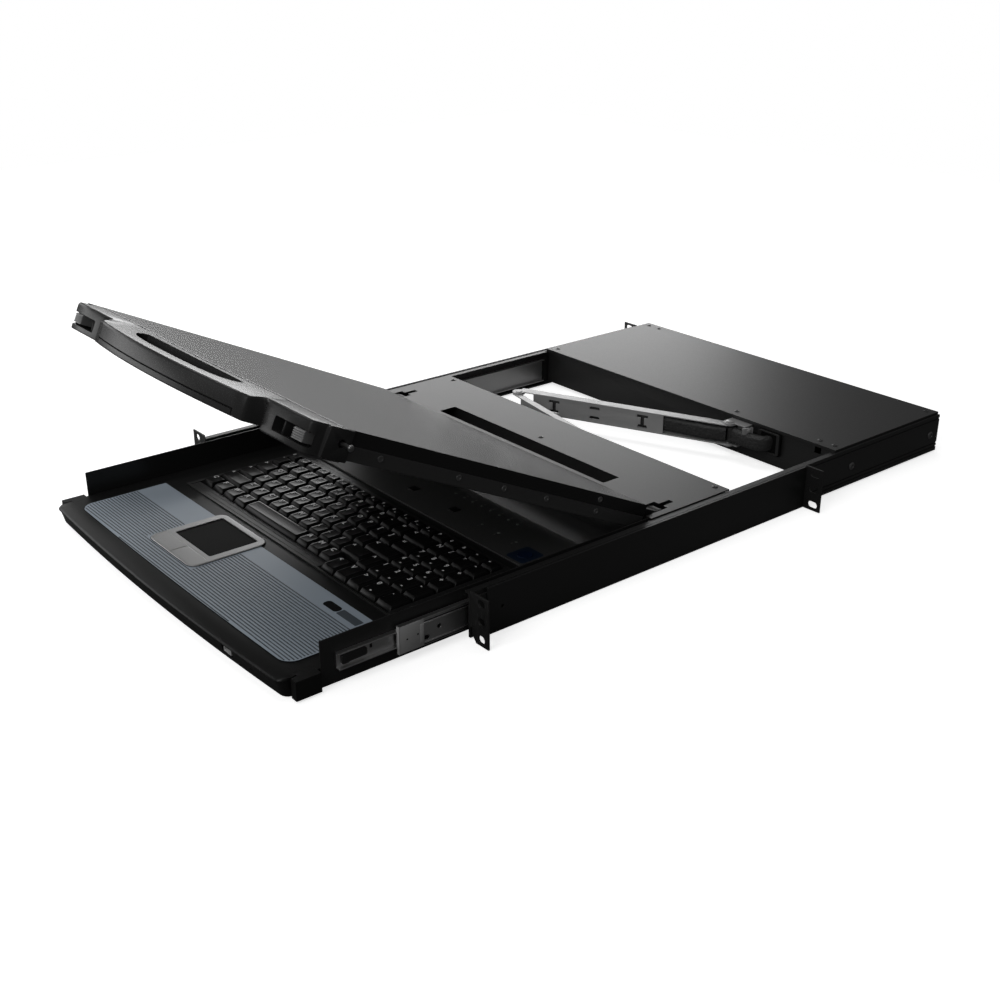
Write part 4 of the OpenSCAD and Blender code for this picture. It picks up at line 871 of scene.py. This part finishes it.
# A dark outline of painted shade round the touchpad frame, in the gap at its edge.
ready(plan(-0.5, 17.9, 18.56, "pad_outline"), "gap_black", "palm_panel")
for side, other in (("left", (-43.85, 0)), ("right", (-90, -43.05))):
    button = plan(1.8, 16.9, 19.3, "pad_button_" + side)
    cut(button, block("back_tool", (-90, 0), (-111.5, -40), (16, 22)),
        block("side_tool", other, (-140, -100), (16, 22)))
    ready(even(bevel(button, 0.25)), "silver_plastic", "touchpad_button_" + side, True)
print("touchpad frame faces", len(pad_frame.data.polygons))

# %% [markdown]
# Each key is a cap with leaning sides and a dished top. A cap of each size is lofted once over
# six rounded rectangles, and its copies fill the rows. Every row is one piece, as it moves as
# one. The marks are letters and digits from the program's own font, turned into thin plates.

# %% Key caps and marks
KEY_PITCH, KEYS_LEFT, MARK_Z = 17.6, -167.2, 22.16
CAP_RINGS = ((15.2, 0.5, 0.35, 0.7, 0.5), (17.8, 0.9, 0.6, 0.9, 0.6), (21.8, 2.4, 3.3, 2, 1.2),
             (22.2, 2.8, 3.9, 2.4, 1.2), (22.02, 4, 4.8, 3.6, 1.1), (21.9, 5.2, 5.8, 4.6, 0.9))
caps = {}


def cap(width, depth):
    """A key cap of one size with its left front corner at zero."""
    if (width, depth) not in caps:
        rings = [[(x, y, z) for x, y in rounded((side, width - side), (front, depth - back),
                                                corner, 3)]
                 for z, side, front, back, corner in CAP_RINGS]
        caps[width, depth] = loft("cap", rings, 60)
    return caps[width, depth]


def mark(sign, x, y, z, size):
    """A letter or digit as a thin plate, its lower left corner at a point."""
    deselect()
    bpy.ops.object.text_add(location=seat(x, y, z))
    text = bpy.context.object
    text.data.body, text.data.size, text.data.resolution_u = sign, size * MM, 2
    text.data.extrude, text.data.offset = 0.01 * MM, 0.18 * MM
    bpy.ops.object.convert(target="MESH")
    return apply_place(bpy.context.object)


def key_marks(sign, x, front, depth):
    """The marks of one key: its sign, and a second small one on the keys with digits."""
    if sign == " ":
        return []
    height = 3.6 if depth > 15 else 2.4
    marks = [mark(sign, x + 3.7, front + depth - 3.9 - height, MARK_Z, height * 1.9)]
    if sign.isdigit():
        marks.append(mark("=", x + 9.6, front + 5, 22.12, height))
    return marks


print("key pitch", KEY_PITCH)

# %% [markdown]
# The rows follow the photograph: a short row of function keys, then full rows whose widths are
# given as shares of the pitch, and a block of arrows and digits that stands lower at the right.
# Each part of a row has its left and front edge, the keys' depth, the shares and the signs.

# %% Rows of keys
ROWS = {
    "keys_function": [(KEYS_LEFT, 62.7, 14, [1] * 19, "E1234567890123PSB++")],
    "keys_number": [(KEYS_LEFT, 43.6, 19.1, [1] * 13 + [2] + [1] * 4, "`1234567890-=<N/*-")],
    "keys_tab": [(KEYS_LEFT, 24.5, 19.1, [1.5] + [1] * 12 + [1.5] + [1] * 4,
                  ">QWERTYUIOP[]=789+")],
    "keys_home": [(KEYS_LEFT, 5.4, 19.1, [1.75] + [1] * 11 + [2.25] + [1] * 4,
                   "^ASDFGHJKL;'<456+")],
    "keys_shift": [(KEYS_LEFT, -13.7, 19.1, [2.25] + [1] * 10 + [1.75], "^ZXCVBNM,./^"),
                   (79.2, -18.7, 24.1, [1] * 5, "^123-")],
    "keys_bottom": [(KEYS_LEFT, -32.8, 19.1, [1.17] * 4 + [5.22] + [1.05] * 3, "CFWA AMC"),
                    (64.12, -42.8, 24.1, [1.1, 1.1, 1.1, 1.35, 1.3], "<V>0.")]}
for node, parts in ROWS.items():
    row_caps, row_marks = [], []
    for x, front, depth, shares, signs in parts:
        for share, sign in zip(shares, signs):
            row_caps.append(moved(cap(round(share * KEY_PITCH, 3), depth), "cap", x, front))
            row_marks += key_marks(sign, x, front, depth)
            x += share * KEY_PITCH
    ready(join(node + "_caps", row_caps), "key_plastic", node, True)
    ready(join(node + "_marks", row_marks), "key_ink", node)
for spare in caps.values():
    bpy.data.objects.remove(spare)
ledge = block("ledge", (-166.9, 63.5), (-45.2, -33.4), (16, 18.8))
lines = [block("ledge_line", (-166, 62.6), (y, y + 0.6), (18.7, 19.1)) for y in (-42.6, -37.6)]
ready(bevel(join("case_ledge", [ledge, *lines]), 0.15, 1), "black_plastic", "keyboard_case")
print("cap sizes", len(caps))

# %% [markdown]
# Screws are turned. A head is a low dome with a round socket in it; the lid's side screws lie in
# their holes, so that only the rim shows. One head is made for a set and copied to its places.

# %% Screws
DOME = [(0, 2.8), (0.25, 2.75), (0.5, 2.1), (0.6, 1.3), (0.58, 1.2), (0.1, 1.05)]
PAN = [(0, 4), (0.5, 3.95), (1, 3.3), (1.3, 2.2), (1.28, 2.0), (0.5, 1.8)]
RIM = [(0, 2.6), (0.35, 2.5), (0.5, 2.3), (0.5, 1.5), (0.1, 1.35)]
COVER_SCREWS = [(-207.1, 631), (-189.1, 631), (207.1, 631), (-207.1, 474), (78.9, 474),
                (189.1, 474), (207.1, 474)]
PLATE_SCREWS = [(-199, 305.8), (199, 305.8), (0, 264.9)]
LID_SCREWS = [(-97, 27.2), (-18, 27.2), (32, 27.2), (82, 27.2), (145, 26.6), (145, 37.4)]


def screws(name, node, places, axis, profile, lid=False, side=False, slot="rail_screw"):
    """A set of turned screw heads as one piece on the body of its solid."""
    first = turned("head", (0, 0, 0), axis, profile, 20)
    heads = [moved(first, "head", x, y, z) for x, y, z in places]
    bpy.data.objects.remove(first)
    piece = join(name, heads)
    if side:
        piece = join(name, [mirrored(piece, "twin"), piece])
    return ready(with_lid(piece) if lid else piece, slot, node)


cover_heads = screws("cover_screw_heads", "chassis_screws",
                     [(x, y, 44.6) for x, y in COVER_SCREWS], "Z", DOME, slot="dark_screw")
side_heads = screws("side_screw_heads", "chassis_screws", [(218.6, y, 21.8) for y in (490, 626)],
                    "X", PAN, side=True)
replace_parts(join("box_screws", [cover_heads, side_heads]), "chassis_screws")
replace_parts(screws("plate_screws", "drawer_screws", [(x, y, 42.8) for x, y in PLATE_SCREWS], "Z",
                   DOME, slot="dark_screw"), "drawer_screws")
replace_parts(screws("lid_side_screws", "lid_screws", [(203, y, z) for y, z in LID_SCREWS], "X",
                   RIM, lid=True, side=True), "lid_screws")
print("screws", len(COVER_SCREWS) + 4 + len(PLATE_SCREWS) + 2 * len(LID_SCREWS))

# %% [markdown]
# The strip behind the keys has a row of eight small lenses, three more in front of it, and a
# round power button on a blue square. Lenses and button are turned. The square is a thin plate,
# because a film on the real strip has an edge too, and plain digits stand beside the lenses.

# %% Lenses and power button
STRIP_TOP = 19.4
lens = turned("lens", (0, 0, 0), "Z", [(-0.9, 1.45), (0, 1.45), (0.18, 1.2), (0.28, 0.6)], 16)
places = [(16 + 13.1 * i, 143) for i in range(8)] + [(87 + 24 * i, 118) for i in range(3)]
ready(join("lens_set", [moved(lens, "lens", x, y, STRIP_TOP) for x, y in places]), "lens",
      "indicator_lenses", True)
bpy.data.objects.remove(lens)
digits = [mark(str(i % 8 + 1), x - 1, y + (3.4 if y > 130 else -5.6), 19.43, 2.6)
          for i, (x, y) in enumerate(places)]
ready(join("lens_digits", digits), "faint_ink", "control_panel")
film = prism("power_film", rounded((148.5, 171.5), (94, 120), 3), 19.36, 19.44)
ready(film, "blue_film", "control_panel")
power = turned("power_cap", (160, 107, 16), "Z",
               [(0, 6.9), (3.7, 6.9), (4, 6.6), (4, 6.0), (3.85, 5.2), (3.8, 2)], 40)
ready(power, "blue_button", "power_button", True)
print("lenses", len(places))

# %% [markdown]
# The rear arm is a thin pressed strip with openings in its upright web: two like a capital I and
# a pair of short bars. They could be drawn in the web's outline, but they lie along a strip that
# stands askew in the plan, so each is a box turned along the arm and cut out.

# %% Openings of the rear arm
PIVOT, ELBOW = (87.9, 453), (-130.4, 346.1)
REAR_WAY, FRONT_WAY = 204.2, -10.5


def along(at, direction, forward, aside):
    """A point of an arm's own drawing, which starts at its hinge, as a point of the plan."""
    a = math.radians(direction)
    return (at[0] + forward * math.cos(a) - aside * math.sin(a),
            at[1] + forward * math.sin(a) + aside * math.cos(a))


def arm_cut(forward, length, low, high):
    """A tool that cuts the upright web of the rear arm."""
    a, b = forward - length / 2, forward + length / 2
    outline = [along(PIVOT, REAR_WAY, *p) for p in ((a, 4), (b, 4), (b, 12), (a, 12))]
    return prism("arm_tool", outline, low, high)


arm_cuts = [arm_cut(150.7, 12, low, low + 2.6) for low in (20.4, 31.6)]
for at in (94.8, 199.3):
    arm_cuts += [arm_cut(at, 13, 31.4, 34.6), arm_cut(at, 4.2, 21, 32), arm_cut(at, 11, 19.8, 22)]
cut(dressed["rear_arm"], *arm_cuts)
print("openings", len(arm_cuts))

# %% [markdown]
# The harness runs in a braided sleeve. Inside each arm it is a straight flat run, and between the
# arm and the rubber bush it bends into the box. All three are lofts over a section with round
# edges, which the bend carries round its curve; the braid is a coarse bump in the finish.

# %% Cable sleeves
SLEEVE_THICK, SLEEVE_HIGH, SLEEVE_Z = 9.6, 16.8, 27.4
BEND_PATH = [(95.5, 452.9), (106, 452.9), (116, 452.9), (122.5, 453.3), (127.5, 454.8),
             (131.2, 457.6), (133.4, 461.4), (134, 466)]


def sleeve(name, path, thick):
    """A flat sleeve along a path of (x, y) points, its section upright."""
    ring = rounded((-thick / 2, thick / 2), (-SLEEVE_HIGH / 2, SLEEVE_HIGH / 2), thick * 0.45, 5)
    rings = []
    for i, (x, y) in enumerate(path):
        ahead, behind = path[min(i + 1, len(path) - 1)], path[max(i - 1, 0)]
        way = math.atan2(ahead[1] - behind[1], ahead[0] - behind[0])
        rings.append([(x - a * math.sin(way), y + a * math.cos(way), SLEEVE_Z + b)
                      for a, b in ring])
    return loft(name, rings, 50)


rear_run = [along(PIVOT, REAR_WAY, s, 1.5 + 3.4 * math.exp(-((s - 26) / 24) ** 2))
            for s in range(2, 222, 8)]
front_run = [along(ELBOW, FRONT_WAY, s, -3.5) for s in range(18, 220, 12)]
ready(sleeve("rear_sleeve", rear_run, SLEEVE_THICK), "cable_sleeve", "cable_rear", True)
ready(sleeve("front_sleeve", front_run, 5.8), "cable_sleeve", "cable_front", True)
post = turned("post", (91.2, 452.9, 19.2), "Z", [(0, 4.8), (16.4, 4.8)], 32)
ready(join("bend_sleeve", [sleeve("bend", BEND_PATH, SLEEVE_THICK), post]), "cable_sleeve",
      "cable_fixed", True)
print("rings", len(rear_run), len(front_run), len(BEND_PATH))

# %% [markdown]
# The arm hangs on a bracket at the box. A small plate with a screw stands beside the pivot, and
# a hexagonal nut lies on it: a turned piece with six sides is a nut. The plate stands askew, so
# it is a loft between its two faces. Both stay low, as the drawer's plate slides over them.

# %% Pivot plate, nut and bush
PLATE = [(112.2, 445.8, 34.6), (117.2, 456.2, 31.4), (117.2, 456.2, 41.2), (112.2, 445.8, 41.2)]
plate = loft("pivot_plate", [PLATE, [(x - 1.1, y + 0.5, z) for x, y, z in PLATE]])
plate_screw = turned("plate_screw", (0, 0, 0), "X", [(-1, 1.9), (0.6, 1.8), (0.9, 1.2)], 16)
plate_screw.rotation_euler = (0, 0, math.radians(-26))
plate_screw.location = Vector((115.4, 451.9, 38.4)) * MM
nut = turned("pivot_nut", (*PIVOT, 40.3), "Z", [(0, 4.8), (0.7, 4.8), (1, 4.2)], 6)
ready(join("pivot_plate", [bevel(plate, 0.2, 1), apply_place(plate_screw), nut]),
      "bracket_steel", "arm_bracket")
# A dark line of painted shade round the rubber bush, where its groove is.
gasket = prism("bush_groove", rounded((119.2, 148.8), (15.8, 41), 2.4), 462.9, 463.5, "Y")
ready(gasket, "gap_black", "cable_bush")
print("plate height", round(PLATE[2][2] - PLATE[1][2], 1))

# %% [markdown]
# The inner lower corner of each ear is cut away in a curve. Then the slides: the middle member
# ends in a white plastic stop with a lip, and two pressed beads and two dark gaps run along it;
# the gaps are dark lines of painted shade. They are thin plates and bars laid on the solid, since
# a cut that shallow would not be seen.

# %% Ears and slides
EAR_CORNER = [(213, -2), (226, -2), (225.4, 0.8), (222.6, 4), (221, 9), (221, 12), (213, 12)]
corner = prism("corner_tool", EAR_CORNER, -1, 1.7, "Y")
cut(dressed["front_ears"], mirrored(corner, "corner_tool_left"), corner)
stop_plate = block("stop_plate", (213.5, 213.95), (-65.2, -42), (8.3, 31.7))
stop_lip = block("stop_lip", (210.6, 214.1), (-66, -65), (8.1, 31.9))
stop_ridge = block("stop_ridge", (213.9, 214.3), (-45.6, -42), (12, 28))
stop = bevel(join("slide_stop_right", [stop_plate, stop_lip, stop_ridge]), 0.25)
both_sides(stop, "slide_stop_left", "white_plastic", "slide_middle_right")
beads = [bevel(block("bead", (213.2, 214.2), (-41.5, 3), z), 0.3)
         for z in ((27, 28.2), (10, 11.2))]
# The dark lines are painted shade in the gaps along the slide.
lines = [block("dark_line", (213.3, 213.7), (-64, 3), z) for z in ((28.9, 29.6), (8.9, 9.4))]
lines += [block("dark_mark", (213.9, 214.02), y, z)
          for y, z in (((-58.8, -57.4), (19, 20.2)), ((-48.6, -47.2), (20, 21.2)),
                       ((-42.6, -38.6), (13.4, 16.4)))]
beads, lines = join("slide_beads_right", beads), join("slide_lines_right", lines)
both_sides(beads, "slide_beads_left", "slide_steel", "slide_middle_right")
both_sides(lines, "slide_lines_left", "gap_black", "slide_middle_right")
print("stop faces", len(stop.data.polygons))

# %% [markdown]
# A black lever lies in the slot of each inner member and lets the drawer go. Its side view is
# drawn and extruded, and it's kept inside the space that the middle member leaves when shut.

# %% Release levers
LEVER = [(-92.4, 18.8), (-92.4, 23.2), (-93.6, 24.6), (-95.4, 25.2), (-114, 25.2),
         (-115.4, 23.8), (-115.4, 18), (-114.2, 16.6), (-109.6, 16.6), (-108.4, 17.4),
         (-94, 17.8)]
lever = bevel(prism("slide_lever_cap_right", LEVER, 207.4, 210.4, "X"), 0.5)
both_sides(lever, "slide_lever_cap_left", "black_plastic", "slide_lever_right", replaces=True)
print("lever points", len(LEVER))

# %% [markdown]
# The port in the front edge is a pressed shell with a tongue in it, set back in its recess: a
# block with a smaller block cut out. The boards, the power supply and the display inside are
# right as solids, so they only get their edges.

# %% Port and inner parts
shell = block("usb_shell", (121.6, 132.9), (-166.4, -152), (8.2, 13.4))
cut(shell, block("usb_tool", (122.6, 131.9), (-172, -153), (9.2, 12.6)))
tongue = block("usb_tongue", (123.4, 131), (-165, -153), (11.2, 12.5))
ready(bevel(join("usb_port", [shell, tongue]), 0.12, 1), "port_metal", "usb_socket", True)
for node, width in {"main_board": 0.1, "power_supply": 0.4, "control_board": 0.1,
                    "display_module": 0.3}.items():
    dress(node, width)

# %% [markdown]
# The solids that nothing replaced are shown as they are, so they get their finishes too.

# %% Materials on the solids
for node, solid in frame["nodes"].items():
    slot = NODE_SLOT[node]
    for place in solid.material_slots:
        place.material = FINISHES[slot]
print("solids", len(frame["nodes"]))
